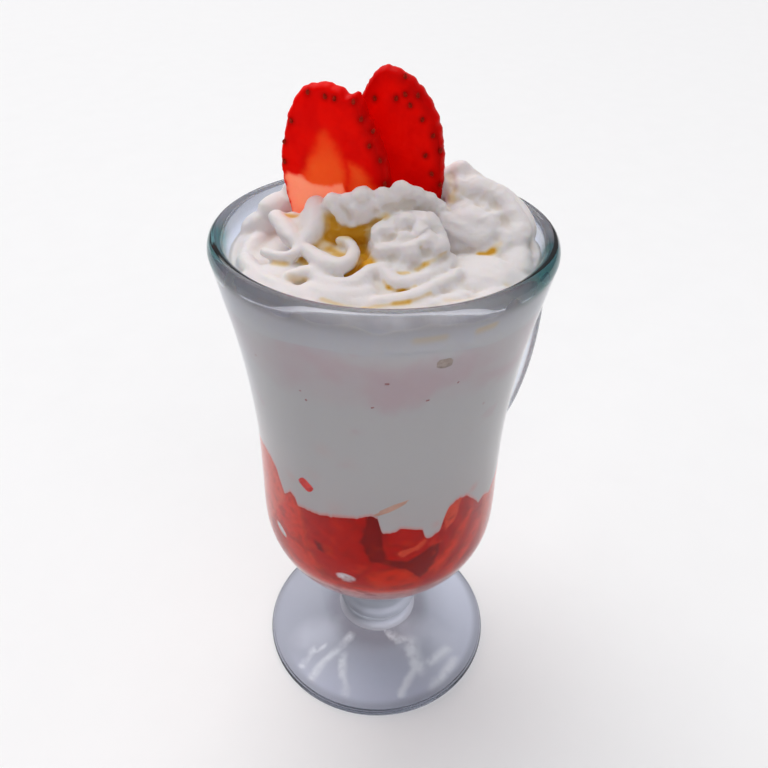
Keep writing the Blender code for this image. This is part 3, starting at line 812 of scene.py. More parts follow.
def pressed(degrees, height, wide, tall, tilt, seed, deep=1.2, corners=14, boxy=1.0):
    """Vertices and faces of an irregular bit, flat against the glass and domed inwards.

    Its half sizes are in mm, and it is the squarer the further boxy lies below 1."""
    draw = np.random.default_rng(seed)
    angles = np.linspace(0, 2 * math.pi, corners, endpoint=False)
    reach = 1 + 0.22 * np.sin(2 * angles + draw.uniform(0, 6)) + draw.uniform(-0.12, 0.12, corners)
    if boxy < 1:
        reach = draw.uniform(0.94, 1.06, corners)
    over_x = np.sign(np.cos(angles)) * np.abs(np.cos(angles)) ** boxy
    over_y = np.sign(np.sin(angles)) * np.abs(np.sin(angles)) ** boxy
    tilt = math.radians(tilt)
    rings = []
    for share, inward in ((0.3, 0.0), (0.96, 0.0), (1.0, -0.12), (0.7, -0.7 * deep),
                          (0.2, -deep)):
        along, over = wide * reach * over_x * share, tall * reach * over_y * share
        sideways = along * math.cos(tilt) - over * math.sin(tilt)
        turn = degrees + np.degrees(sideways / BIT_RADIUS)
        rise = height + along * math.sin(tilt) + over * math.cos(tilt)
        rings.append([wall_point(t, r, PRESSED_IN + inward) for t, r in zip(turn, rise)])
    return closed_rings(rings)


def joined(shapes):
    """Several shapes as one."""
    vertices, faces, first = [], [], 0
    for points, sides in shapes:
        vertices.append(points)
        faces += [tuple(corner + first for corner in side) for side in sides]
        first += len(points)
    return np.vstack(vertices), faces


def bit_finish(name, colour, deep, scale):
    """A small bit of food, mottled between two tones."""
    material, out, place = new_finish(name)
    mottle = place.noise(place, scale, 3.0).rise(0.35, 0.65)
    surface = place.node("BsdfPrincipled", (), {
        "Base Color": mottle.blend(colour, deep), "Roughness": 0.4,
        "Normal": relief(mottle, 0.4, 0.3)})
    end_finish(out, surface)
    return material


# Dark specks: degrees round from the front, height and half width in mm.
SPECKS = [(17, 114.4, 0.36), (-29, 111.8, 0.34), (-3, 113.1, 0.32), (2, 119.9, 0.42),
          (28, 117.9, 0.28), (-31, 114.0, 0.25), (44, 108.0, 0.25), (-52, 118.0, 0.3),
          (75, 116.0, 0.35), (-88, 113.0, 0.35), (120, 112.0, 0.4), (160, 118.0, 0.35),
          (-135, 116.0, 0.4), (-160, 104.0, 0.3), (98, 121.0, 0.3)]
bits = [
    ("berry_chip", "strawberry_chip", "chopped_strawberry",
     [pressed(-35, 84.0, 2.0, 1.5, -42, 3, 1.2, 28, 0.6)],
     bit_finish("chip_flesh", (0.95, 0.012, 0.0), (0.78, 0.004, 0.0), 900.0)),
    ("crumb", "pale_crumb", "pale_crumb", [pressed(21, 124.2, 1.45, 1.25, 2, 5, 1.2, 20, 0.7)],
     bit_finish("crumb_tan", (0.50, 0.41, 0.37), (0.43, 0.34, 0.29), 1200.0)),
    ("fruit_sliver", None, "chopped_strawberry", [pressed(5.4, 81.6, 4.6, 0.75, 28, 4, 0.4)],
     bit_finish("sliver_flesh", (0.70, 0.44, 0.34), (0.72, 0.40, 0.30), 700.0)),
    ("fruit_specks", None, "chopped_strawberry",
     [pressed(turn, height, size, size * 0.8, 20, 30 + i, 0.3, 8)
      for i, (turn, height, size) in enumerate(SPECKS)],
     bit_finish("speck_flesh", (0.47, 0.24, 0.25), (0.36, 0.13, 0.13), 2500.0)),
]
for name, node, slot, shapes, finish in bits:
    piece = build(name, *joined(shapes))
    piece.data.materials.append(finish)
    serve(piece)
    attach(piece, "root")
    if node is not None:
        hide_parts(node)

# ---- The whipped cream ----------------------------------------------------------------------
# Cream whipped until it holds its shape and piped in ropes and rosettes over the filling.  Its
# ridges are soft and a little torn, and it leans on the glass.  Painted shade warms its hollows,
# turns golden in its deep folds, and greys it where it lies against the glass.

# The cream's own white, then painted shade: warm in its hollows, grey and golden where it lies
# against the glass, and golden in its deep folds.
WHIPPED = (0.79, 0.75, 0.755)
CREVICE_PAINTED_SHADE = (0.74, 0.675, 0.62)
WALL_PAINTED_SHADE = (0.50, 0.488, 0.495)
WALL_PAINTED_GOLDEN_SHADE = (0.64, 0.50, 0.30)
GOLDEN_SHADE_TONES = [(0.0, (0.79, 0.75, 0.74)), (0.30, (0.77, 0.66, 0.51)), (0.60, (0.75, 0.52, 0.20)),
              (0.95, (0.67, 0.33, 0.015))]
# Size of the faces that the ropes are fused into, and how far the cream reaches below the pink
# layer's edge, where it tucks in over TUCK_FADE.
CREAM_GRAIN = 0.43
WHIPPED_FOOT = 3.0
WHIPPED_REACH = 34.0
TUCK_FADE = 2.0
# Ropes: least half width, what softening takes off it, sides, and rounds of softening.
ROPE_LEAST = 0.25
ROPE_SPARE = 0.3
ROPE_SIDES = 24
SOFTENING = 4
# Where the cream is fluffiest: centre, reach in mm, strength.
FLUFFY = [((2.0, -9.0, 142.0), 11.0, 1.0), ((18.0, 0.0, 144.0), 8.0, 0.8)]
# Rounds of averaging that show how sunk a place is against ever wider surroundings, and weights.
SURROUNDINGS = [(7, 1.0), (33, 0.55), (110, 0.3)]
# The bead of the rim begins this far below its top, and the wall leans out this much for 1 up.
RIM_BEAD = 1.5
WALL_LEAN = 0.195
# Half outline of the mound below the ropes.
MOUND = [(0.0, 137.6), (8.0, 136.6), (16.0, 135.2), (23.0, 133.6), (27.5, 132.8), (32.0, 132.6),
         (36.0, 132.2)]


def rope(points, lobes=5, groove=0.0, twist=0.0):
    """A piped rope along points in mm, each with its half width; grooves wind round it."""
    path = through(points, 8)
    path, size = path[:, :3], np.maximum(path[:, 3], ROPE_LEAST) + ROPE_SPARE
    along = np.gradient(path, axis=0)
    along /= np.linalg.norm(along, axis=1)[:, None]
    across = np.cross(along, (0, 0, 1.0))
    across /= np.linalg.norm(across, axis=1)[:, None]
    over = np.cross(across, along)
    run = np.linspace(0, 1, len(path))
    ends = np.sqrt(1 - np.clip(1 - np.minimum(run, 1 - run) * len(path) / 6, 0, 0.98) ** 2)
    angles = np.linspace(0, 2 * math.pi, ROPE_SIDES, endpoint=False)
    wind = angles[None] + twist * run[:, None]
    reach = (size * ends)[:, None] * (1 + groove * np.cos(lobes * wind))
    rings = (path[:, None] + across[:, None] * (reach * np.cos(angles))[..., None]
             + over[:, None] * (reach * np.sin(angles))[..., None])
    return closed_rings(rings)


def ring_rope(radius, start, end, height, thick, sway, groove=0.08):
    """A rope round the glass from start to end in degrees, swaying in and out."""
    share = np.linspace(0, 1, 27)
    turn = np.radians(start + (end - start) * share)
    reach = radius + sway * np.sin(share * 29)
    return rope(np.column_stack([reach * np.sin(turn), -reach * np.cos(turn),
                                 height + 0.4 * sway * np.sin(share * 41),
                                 thick * (1 + 0.08 * np.sin(share * 60))]), 5, groove, 14.0)


def coil(centre, reach, turns, start, slant, rise, thick, uneven):
    """A rope that winds in and up to a tip, on a dome that leans towards the viewer."""
    share = np.linspace(0, 1, int(18 * turns))
    turn = math.radians(start) + 2 * math.pi * turns * share
    out = reach * (1 - share) ** 0.85 * (1 + uneven * np.sin(4.3 * turn))
    over, back = centre[0] + out * np.sin(turn), centre[1] - out * np.cos(turn)
    up = centre[2] + slant * (back - centre[1]) + rise * (1 - (out / reach) ** 2)
    up += 3 * uneven * np.sin(2.7 * turn + 1.0)
    return rope(np.column_stack([over, back, up, thick * (1 - 0.4 * share)
                                 * (1 + 1.6 * uneven * np.sin(6.1 * turn))]))


def ball(centre, radii):
    """An egg-shaped lump."""
    tilts = np.radians(np.linspace(-88, 88, 19))
    outline = np.column_stack([np.cos(tilts), np.sin(tilts)])
    return closed_rings(turned(outline, 36) * np.array(radii) + np.array(centre))


def cream_shapes():
    """The mound, and every rope and lump of cream on it."""
    bottom = PINK_TOP - WHIPPED_FOOT
    mound = through(MOUND, 6)[::-1]
    outline = np.vstack([[(AXIS_RING, bottom), (WHIPPED_REACH, bottom)], mound])
    outline[-1, 0] = AXIS_RING
    shapes = [
        closed_rings(turned(outline, 90)),
        ring_rope(28.8, -179, 184, 129.4, 4.2, 0.5),
        ring_rope(31.7, -62, 96, 132.3, 2.4, 0.3),
        ring_rope(28.4, 88, 262, 132.4, 4.2, 0.6),
        ring_rope(20.5, 70, 216, 136.4, 4.6, 0.8),
        # left arm of the fold below the left slice
        rope([(-23.7, 1.0, 139.2, 1.6), (-22.9, -1.4, 139.4, 1.8), (-21.7, -3.6, 139.0, 2.0),
              (-20.1, -6.3, 138.5, 2.0), (-18.7, -9.1, 138.2, 1.8), (-17.5, -10.7, 138.0, 1.4),
              (-16.7, -11.5, 138.1, 1.1), (-16.0, -12.3, 137.9, 0.9)]),
        # right arm of it
        rope([(-13.9, 1.6, 142.0, 1.8), (-14.4, -0.6, 142.2, 2.2), (-14.3, -2.9, 141.4, 2.5),
              (-14.3, -5.2, 140.4, 2.4), (-14.7, -7.2, 139.6, 2.1), (-15.6, -9.3, 138.7, 1.7),
              (-16.7, -11.3, 138.1, 1.1)]),
        ball((-12.2, -3.6, 140.2), (2.0, 2.4, 3.4)),
        # cream between the arms
        rope([(-23.6, 1.6, 138.8, 1.6), (-22.2, -1.6, 138.8, 1.9), (-20.4, -4.4, 138.4, 2.0),
              (-18.6, -7.4, 138.0, 1.8), (-17.2, -9.8, 137.8, 1.4)]),
        rope([(-20.4, 1.4, 139.0, 1.8), (-19.4, -1.2, 138.8, 2.0), (-18.0, -3.8, 138.4, 2.2),
              (-17.2, -6.4, 138.0, 2.0), (-16.9, -9.2, 137.8, 1.4)]),
        rope([(-17.0, 0.6, 139.6, 2.0), (-16.4, -2.6, 139.4, 2.2), (-16.0, -5.4, 138.8, 2.2),
              (-16.2, -8.0, 138.2, 1.8), (-16.6, -10.4, 137.8, 1.2)]),
        # thin ridge that runs left from the foot of the fold
        rope([(-16.4, -11.6, 138.2, 0.8), (-17.4, -12.9, 137.7, 0.9), (-18.5, -13.7, 137.2, 0.9),
              (-19.9, -14.0, 136.9, 0.85), (-21.8, -13.2, 136.7, 0.8), (-23.8, -11.6, 136.5, 0.8),
              (-25.4, -9.6, 136.0, 0.9)]),
        # hooked curl
        rope([(-17.0, -11.2, 138.2, 0.9), (-14.9, -13.5, 137.8, 1.3), (-13.2, -15.5, 137.4, 1.6),
              (-11.7, -17.2, 137.3, 1.75), (-10.3, -18.3, 137.3, 1.75), (-8.9, -18.9, 137.4, 1.6),
              (-7.7, -18.4, 137.6, 1.4), (-6.6, -17.2, 137.8, 1.2), (-6.2, -15.4, 138.1, 1.05),
              (-6.1, -13.3, 138.3, 0.95), (-6.8, -11.0, 138.5, 0.9), (-7.9, -9.6, 138.5, 0.8),
              (-9.1, -9.3, 138.5, 0.65), (-10.2, -9.6, 138.2, 0.4)]),
        # waved ridge across the front
        rope([(-19.6, -19.8, 135.2, 0.8), (-18.4, -19.5, 135.5, 1.0), (-17.1, -19.0, 135.5, 1.2),
              (-15.4, -18.4, 135.5, 1.4), (-13.6, -18.9, 135.4, 1.5), (-12.4, -20.3, 135.2, 1.5),
              (-11.2, -21.8, 134.9, 1.6), (-9.0, -22.5, 134.9, 1.6), (-6.9, -22.5, 135.1, 1.6),
              (-5.2, -21.9, 135.4, 1.6), (-3.7, -20.4, 136.0, 1.5), (-2.6, -19.3, 136.5, 1.4),
              (-1.3, -19.1, 136.7, 1.4), (0.0, -19.6, 136.7, 1.3), (1.1, -20.8, 136.4, 1.3),
              (2.0, -21.8, 136.0, 1.3), (3.4, -22.2, 135.7, 1.3), (5.4, -21.9, 135.6, 1.3),
              (8.3, -20.0, 135.8, 1.3), (11.1, -17.5, 136.2, 1.2), (13.1, -14.3, 136.6, 1.1),
              (14.2, -11.5, 136.9, 1.0)]),
        # its smooth front slope
        rope([(-16.4, -21.0, 133.0, 1.8), (-13.6, -23.0, 133.4, 2.3), (-10.2, -24.6, 133.3, 2.5),
              (-6.9, -24.9, 133.3, 2.5), (-3.6, -24.2, 133.4, 2.4), (-1.0, -22.6, 133.8, 2.2)]),
        rope([(-13.0, -21.4, 133.6, 2.0), (-9.8, -23.0, 133.8, 2.3), (-6.8, -23.2, 133.8, 2.3),
              (-3.8, -22.0, 134.0, 2.2), (-1.4, -20.8, 134.6, 2.0)]),
        ball((0.6, -24.0, 133.2), (3.4, 2.6, 1.8)),
        ball((-0.4, -21.6, 133.7), (2.6, 2.4, 2.0)),
        # lip along the glass
        rope([(-29.5, -7.0, 133.2, 1.8), (-28.4, -11.0, 133.4, 1.8), (-26.6, -14.6, 133.5, 1.8),
              (-24.4, -17.6, 133.5, 1.8), (-21.9, -20.2, 133.5, 1.8), (-18.7, -22.6, 133.4, 1.8),
              (-15.5, -24.4, 133.2, 1.9), (-12.2, -25.6, 133.1, 1.9), (-9.0, -26.2, 133.0, 1.9),
              (-5.7, -26.4, 133.0, 1.9), (-2.5, -26.6, 132.9, 1.9), (0.8, -27.9, 132.6, 1.7),
              (3.8, -28.2, 132.6, 1.7), (7.0, -27.4, 132.8, 1.7), (10.4, -26.0, 133.0, 1.7),
              (14.0, -24.2, 133.0, 1.7), (18.0, -22.0, 133.2, 1.7)]),
        # second ridge, right of the middle
        rope([(-2.4, -26.4, 134.0, 1.1), (-0.6, -27.0, 134.2, 1.3), (1.6, -26.7, 134.3, 1.3),
              (4.4, -26.2, 134.5, 1.3), (6.6, -25.0, 134.7, 1.3), (8.9, -23.4, 135.0, 1.3),
              (10.9, -21.5, 135.3, 1.2), (13.4, -19.4, 135.6, 1.2), (16.0, -16.6, 136.0, 1.2)]),
        # broad smooth cream at the right of the front
        ball((20.0, -14.0, 132.6), (9.6, 9.0, 4.6)),
        ball((27.0, -5.0, 133.2), (7.0, 11.0, 5.2)),
        ball((13.0, -19.0, 132.4), (6.4, 5.4, 3.2)),
        # floor and back of the golden pocket
        ball((-9.6, -11.4, 134.6), (8.4, 7.6, 2.5)),
        ball((-8.6, -3.2, 139.2), (6.4, 3.6, 4.4)),
        ball((-20.4, -16.0, 133.2), (7.0, 5.0, 2.6)),
        ball((-13.2, -6.6, 135.8), (3.8, 4.8, 2.6)),
        # body below the rosette and the ruffle
        ball((4.3, -10.8, 136.8), (7.8, 8.4, 5.2)),
        rope([(-13.4, -2.6, 138.6, 2.2), (-10.2, -4.0, 138.8, 2.8), (-6.6, -4.6, 138.8, 3.0),
              (-2.6, -4.8, 139.2, 3.0), (2.0, -3.4, 140.0, 3.2), (6.5, -1.6, 140.6, 3.2),
              (10.0, -1.2, 140.2, 3.0), (13.0, -1.0, 139.6, 2.6)]),
        rope([(-12.6, -2.2, 142.0, 1.6), (-10.0, -3.6, 142.6, 2.0), (-7.1, -4.2, 142.6, 2.2),
              (-3.4, -5.0, 142.8, 2.3), (-0.2, -4.8, 143.4, 2.3), (3.0, -3.0, 144.0, 2.4),
              (6.5, -1.6, 143.6, 2.4), (10.0, -1.4, 142.4, 2.0)]),
        # bumpy ruffle in front of the slices
        rope([(-12.6, -3.4, 144.4, 1.1), (-10.7, -5.4, 145.2, 1.4), (-8.9, -6.0, 144.9, 1.4),
              (-7.1, -6.0, 145.2, 1.4), (-4.4, -6.2, 145.8, 1.6), (-2.4, -6.2, 145.2, 1.6),
              (-0.6, -6.0, 145.9, 1.6), (1.4, -5.2, 146.0, 1.6), (3.2, -4.2, 146.8, 1.6),
              (4.8, -4.0, 146.6, 1.5), (6.4, -3.4, 146.0, 1.5), (8.0, -2.8, 145.0, 1.4),
              (9.6, -2.6, 144.4, 1.3), (11.2, -2.6, 143.4, 1.2), (12.8, -2.4, 142.0, 1.2)]),
        ball((-10.7, -6.0, 146.0), (1.7, 1.4, 1.5)),
        ball((-7.6, -6.4, 146.0), (1.7, 1.5, 1.6)),
        ball((-9.4, -7.0, 144.4), (1.9, 1.4, 1.6)),
        ball((-4.5, -6.6, 147.2), (2.2, 1.8, 1.9)),
        ball((-5.8, -7.4, 144.6), (2.4, 1.6, 1.7)),
        ball((-1.9, -7.0, 145.6), (1.9, 1.6, 1.6)),
        ball((-0.6, -6.4, 147.5), (1.7, 1.5, 1.5)),
        ball((1.6, -6.2, 146.2), (2.0, 1.5, 1.6)),
        ball((3.4, -5.2, 148.2), (2.2, 1.7, 1.7)),
        ball((6.4, -4.2, 147.0), (1.8, 1.5, 1.5)),
        ball((9.2, -3.4, 145.4), (1.7, 1.4, 1.4)),
        ball((-7.9, -6.9, 142.7), (2.3, 1.7, 1.7)),
        ball((-6.4, -7.3, 141.8), (1.7, 1.5, 1.5)),
        ball((-4.2, -7.0, 143.0), (2.5, 1.8, 1.7)),
        ball((-0.8, -6.8, 143.8), (2.3, 1.7, 1.7)),
        # rosette in the middle of the front
        coil((4.5, -12.6, 138.7), 7.6, 2.4, -75, 0.56, 2.6, 1.9, 0.14),
        ball((3.6, -13.4, 141.6), (1.6, 1.1, 1.3)),
        ball((6.4, -12.0, 141.9), (1.3, 1.5, 1.2)),
        ball((1.0, -10.6, 141.9), (2.2, 1.3, 1.3)),
        ball((8.6, -9.4, 142.6), (2.4, 1.6, 1.4)),
        ball((4.4, -7.6, 143.2), (2.8, 1.6, 1.6)),
        ball((9.8, -14.4, 139.6), (1.5, 2.2, 1.5)),
        ball((0.2, -15.8, 138.4), (2.4, 1.4, 1.4)),
        rope([(-2.8, -14.4, 137.4, 0.9), (0.4, -15.4, 138.4, 1.1), (4.0, -15.6, 139.4, 1.1),
              (7.0, -14.6, 140.2, 1.0), (8.0, -12.6, 140.8, 0.8)]),
        # mound on the right, with a lump on top
        ball((19.0, 0.0, 136.0), (9.8, 9.0, 8.6)),
        ball((24.0, 3.4, 136.6), (8.4, 9.4, 7.4)),
        ball((18.6, -2.6, 137.4), (8.2, 6.6, 6.6)),
        ball((22.6, -5.4, 135.6), (6.6, 6.0, 5.4)),
        rope([(11.6, -3.0, 141.6, 1.6), (13.4, -5.2, 140.8, 1.9), (16.4, -7.2, 139.8, 2.0),
              (20.0, -8.0, 139.2, 2.1), (23.6, -7.4, 138.8, 2.0)]),
        rope([(13.4, 1.0, 143.4, 2.6), (17.0, 3.4, 145.0, 2.8), (21.4, 3.2, 144.4, 2.8),
              (25.4, 0.8, 142.2, 2.8), (28.0, -4.0, 138.8, 2.8), (27.6, -9.0, 136.4, 2.4)]),
        rope([(20.6, 7.4, 143.4, 2.4), (25.4, 5.6, 142.0, 2.6), (29.4, 2.0, 139.2, 2.6),
              (31.0, -3.6, 136.2, 2.4)]),
        rope([(9.5, 4.0, 142.8, 3.0), (12.6, 6.4, 145.2, 2.8), (15.0, 6.6, 147.4, 2.0),
              (16.2, 6.6, 148.6, 1.5), (17.4, 6.4, 147.6, 1.6), (18.8, 6.2, 146.0, 2.0),
              (21.4, 6.0, 144.0, 2.4), (24.6, 5.0, 142.4, 2.6), (28.0, 3.4, 139.6, 2.8)]),
        ball((15.9, 5.6, 147.0), (1.9, 1.8, 2.4)),
        ball((17.0, 4.4, 145.4), (1.5, 1.5, 2.2)),
        ball((13.6, 3.6, 146.0), (1.6, 1.6, 1.6)),
        ball((18.6, 4.6, 147.0), (1.4, 1.4, 1.3)),
        # cream behind the slices
        rope([(-22.0, 8.0, 138.0, 4.4), (-17.0, 13.0, 139.6, 5.0), (-9.0, 16.4, 140.4, 5.0),
              (0.0, 17.4, 141.0, 5.0), (8.0, 15.0, 142.0, 4.6), (14.0, 11.0, 142.6, 4.0)],
             5, 0.12, 4.0),
        rope([(-27.0, 6.0, 135.6, 3.4), (-24.6, 9.0, 137.0, 3.6), (-21.0, 11.0, 138.0, 3.6)]),
    ]
    return shapes


def corners_of(piece):
    """The piece's vertices in mm."""
    places = np.empty(len(piece.data.vertices) * 3)
    piece.data.vertices.foreach_get("co", places)
    return places.reshape(-1, 3) / MM


def normals_of(piece):
    """The way that the skin faces at each vertex."""
    ways = np.empty(len(piece.data.vertices) * 3)
    piece.data.vertex_normals.foreach_get("vector", ways)
    return ways.reshape(-1, 3)


def averaged(values, edges, rounds):
    """Values at the vertices, each pulled to the mean of its neighbours, round after round."""
    count = len(values)
    ends = np.concatenate([edges[:, 0], edges[:, 1]])
    others = np.concatenate([edges[:, 1], edges[:, 0]])
    share = 1 / np.maximum(np.bincount(ends, minlength=count), 1)
    for _ in range(rounds):
        mean = np.column_stack([np.bincount(ends, values[others, i], count) * share
                                for i in range(values.shape[1])])
        values = values * 0.5 + mean * 0.5
    return values


def edges_of(piece):
    """Pairs of vertices that an edge joins."""
    pairs = np.empty(len(piece.data.edges) * 2, np.int32)
    piece.data.edges.foreach_get("vertices", pairs)
    return pairs.reshape(-1, 2)


def remeshed(piece, size):
    """Fuse the piece's overlapping shapes into one skin of even faces."""
    remesh = piece.modifiers.new("fuse", "REMESH")
    remesh.mode = "VOXEL"
    remesh.voxel_size = size * MM
    shown = piece.evaluated_get(bpy.context.evaluated_depsgraph_get())
    mesh = bpy.data.meshes.new_from_object(shown)
    piece.modifiers.clear()
    piece.data = mesh
    mesh.shade_smooth()


def place_corners(piece, places):
    """Put the piece's vertices at places in mm."""
    piece.data.vertices.foreach_set("co", (places * MM).ravel())
    piece.data.update()


# Where the cream gets painted golden shade: reach in mm, strength, then a line as across, back and
# up.
GOLDEN_SHADE_LINES = [
    # the deep pocket between the fold, the ruffle and the curl
    (2.6, 1.0, [(-10.6, -5.8, 141.6), (-10.2, -6.9, 140.2), (-8.1, -7.6, 139.7),
                (-6.0, -7.9, 139.5)]),
    (1.5, 0.7, [(-5.4, -7.6, 140.6), (-2.5, -7.6, 141.8), (0.1, -8.2, 143.4)]),
    (2.2, 1.0, [(-6.0, -7.9, 139.0), (-5.0, -8.7, 137.3), (-4.0, -11.8, 136.6),
                (-3.3, -16.6, 137.3)]),
    (1.8, 1.0, [(-3.9, -17.6, 137.0), (-6.3, -17.6, 135.7), (-8.5, -19.4, 135.4)]),
    (1.9, 0.9, [(-15.2, -10.6, 137.4), (-13.3, -7.5, 138.0), (-10.7, -6.9, 138.2)]),
    (1.5, 0.8, [(-11.1, -10.7, 137.1), (-9.5, -12.6, 137.1), (-7.8, -13.6, 137.0)]),
    # below the fold and in its notch
    (1.3, 0.9, [(-16.9, -12.3, 135.7), (-15.0, -15.0, 136.0)]),
    (1.4, 0.6, [(-21.7, -14.4, 135.7), (-20.0, -15.1, 135.9)]),
    (1.3, 0.5, [(-20.3, -10.2, 137.0), (-18.7, -11.9, 137.3)]),
    (1.3, 0.8, [(-20.6, -1.4, 140.2), (-17.6, -2.4, 140.4)]),
    (1.5, 0.4, [(-24.9, -5.7, 138.0), (-23.6, -7.2, 137.8)]),
    (1.4, 0.45, [(-18.2, -20.5, 136.0), (-15.2, -20.1, 135.0)]),
    # along the glass
    (0.75, 0.45, [(-11.5, -27.1, 134.8), (-7.1, -28.6, 134.0), (-4.6, -29.6, 134.4),
                 (-0.9, -28.7, 134.4), (4.7, -27.7, 134.9), (8.9, -25.1, 135.5)]),
    (0.7, 0.6, [(-4.8, -30.0, 134.8), (-2.4, -29.6, 134.6)]),
    (0.7, 0.5, [(2.2, -28.2, 134.9), (4.7, -27.7, 134.9)]),
    # against the wall, below the rim
    (1.3, 0.5, [(6.1, -32.9, 131.2), (10.9, -31.7, 131.4)]),
    (1.2, 0.6, [(17.3, -28.7, 131.2), (20.2, -26.8, 131.4)]),
    # below the waved ridge and round the rosette
    (0.7, 0.8, [(1.1, -23.1, 135.5), (2.4, -23.4, 135.0), (3.8, -23.7, 135.2)]),
    (0.7, 0.4, [(0.1, -22.2, 136.3), (1.1, -23.1, 135.5)]),
    (0.7, 0.45, [(3.8, -23.7, 135.2), (6.1, -23.5, 136.0)]),
    (0.7, 0.55, [(2.8, -20.7, 137.2), (4.8, -20.4, 137.3)]),
    (0.75, 0.6, [(6.5, -19.0, 137.3), (8.3, -18.2, 138.1)]),
    (0.75, 0.45, [(8.3, -18.2, 138.1), (10.7, -16.8, 138.9), (12.4, -14.8, 139.1)]),
    (0.7, 0.5, [(6.8, -14.4, 141.7), (7.1, -16.0, 140.9)]),
    # on the right and behind
    (0.7, 1.0, [(19.5, -11.0, 137.0), (21.1, -11.2, 137.1), (22.3, -10.8, 137.8)]),
    (1.2, 0.4, [(22.3, -10.8, 137.8), (23.9, -9.6, 139.2)]), (1.5, 0.6, [(14.2, 0.3, 144.6)]),
    (1.6, 0.3, [(13.6, 4.4, 147.8), (13.9, 1.9, 146.6), (16.2, 0.6, 146.2)]),
    (1.4, 0.3, [(24.2, -20.6, 135.1)]), (1.4, 0.3, [(12.0, -26.4, 134.7), (16.5, -26.8, 134.8)]),
    (3.0, 0.5, [(-12.0, 23.0, 136.5)]), (3.0, 0.5, [(4.0, 25.0, 136.5)]),
    (2.5, 0.5, [(20.0, 18.0, 138.0)])]
# Hollows pressed into the cream: reach and depth in mm, then a line.  Depth below 0 is a ridge.
HOLLOWS = [
    # beside the fold
    (2.4, 1.4, [(-26.4, -2.0, 137.0), (-25.4, -5.4, 137.2)]),
    (1.3, 0.9, [(-22.6, -8.4, 137.6), (-20.4, -10.4, 137.6)]), (1.6, 0.8, [(-19.4, -1.6, 140.4)]),
    # in the rosette
    (1.2, 0.8, [(-1.6, -14.6, 140.8), (0.4, -13.7, 141.2), (2.3, -13.4, 141.8)]),
    (0.9, 0.6, [(2.4, -12.3, 142.7), (4.9, -11.7, 142.4)]),
    (1.5, 0.8, [(1.8, -17.6, 139.1), (3.8, -18.2, 138.6), (5.7, -18.8, 138.3)]),
    (1.3, 0.8, [(7.9, -16.0, 140.0), (9.9, -16.5, 139.4), (12.0, -15.4, 138.5)]),
    (0.9, -0.7, [(-2.0, -15.2, 139.9), (0.4, -16.4, 140.1), (3.2, -16.2, 140.2),
                 (5.5, -15.8, 140.8), (7.8, -15.2, 141.3)]),
    (1.7, -0.9, [(7.6, -12.4, 142.4), (9.6, -12.8, 141.4), (11.4, -13.6, 140.0)]),
    (1.1, -0.7, [(5.0, -17.2, 139.6), (5.9, -17.0, 139.9)]),
    (1.3, -0.6, [(2.7, -9.6, 143.8), (5.5, -10.0, 144.3), (8.3, -10.8, 143.6)]),
    # in the mound on the right
    (2.0, 1.0, [(12.9, -7.2, 141.7), (15.1, -8.3, 141.1), (18.0, -8.5, 140.4),
                (20.8, -9.0, 140.1), (23.3, -9.0, 139.7)]),
    (1.4, 0.9, [(19.8, -1.6, 144.1), (21.4, -2.8, 143.1), (23.3, -1.3, 143.2)]),
    (1.3, 0.6, [(25.2, -4.2, 141.4), (27.2, -4.3, 141.4)]),
    (1.6, 0.7, [(31.1, -7.3, 137.0), (30.8, -11.2, 135.5)]),
    (1.2, 0.8, [(13.8, 4.4, 148.0), (14.2, 1.0, 146.0)]), (1.4, 0.5, [(17.4, 2.6, 147.2)]),
    # in the ruffle
    (1.0, 0.7, [(-8.8, -7.7, 145.1), (-7.6, -8.0, 144.0), (-7.2, -8.6, 142.6)]),
    (0.9, 0.5, [(-5.0, -8.1, 146.6), (-3.4, -7.7, 147.1)]),
    (1.1, 0.7, [(-1.9, -8.3, 144.4), (0.4, -8.2, 144.9)]),
    (1.3, 0.8, [(2.1, -7.3, 145.7), (5.6, -6.0, 145.2), (9.4, -6.0, 144.4)])]


def from_line(places, line):
    """Offsets in mm from the nearest point of a line."""
    line = np.array(line, float)
    best = np.full(len(places), np.inf)
    offsets = np.empty_like(places)
    for start, end in zip(line, line[1:] if len(line) > 1 else line):
        side = end - start
        share = np.clip((places - start) @ side / (side @ side + 1e-9), 0, 1)
        away = places - start - share[:, None] * side
        nearer = (away ** 2).sum(1) < best
        best[nearer] = (away[nearer] ** 2).sum(1)
        offsets[nearer] = away[nearer]
    return offsets


def painted_golden_shade(places, sunk):
    """How much painted golden shade the cream gets at each vertex, strongest deep in its folds."""
    total = np.zeros(len(places))
    for reach, strength, line in GOLDEN_SHADE_LINES:
        away = from_line(places, line)
        away[:, 2] *= np.where(away[:, 2] > 0, 1.5, 0.8)
        total += strength * np.exp(-(away ** 2).sum(1) / (0.9 * reach) ** 2)
    return np.clip(total * (0.65 + 0.35 * soft_step(sunk, -0.35, 0.2)), 0, 1)


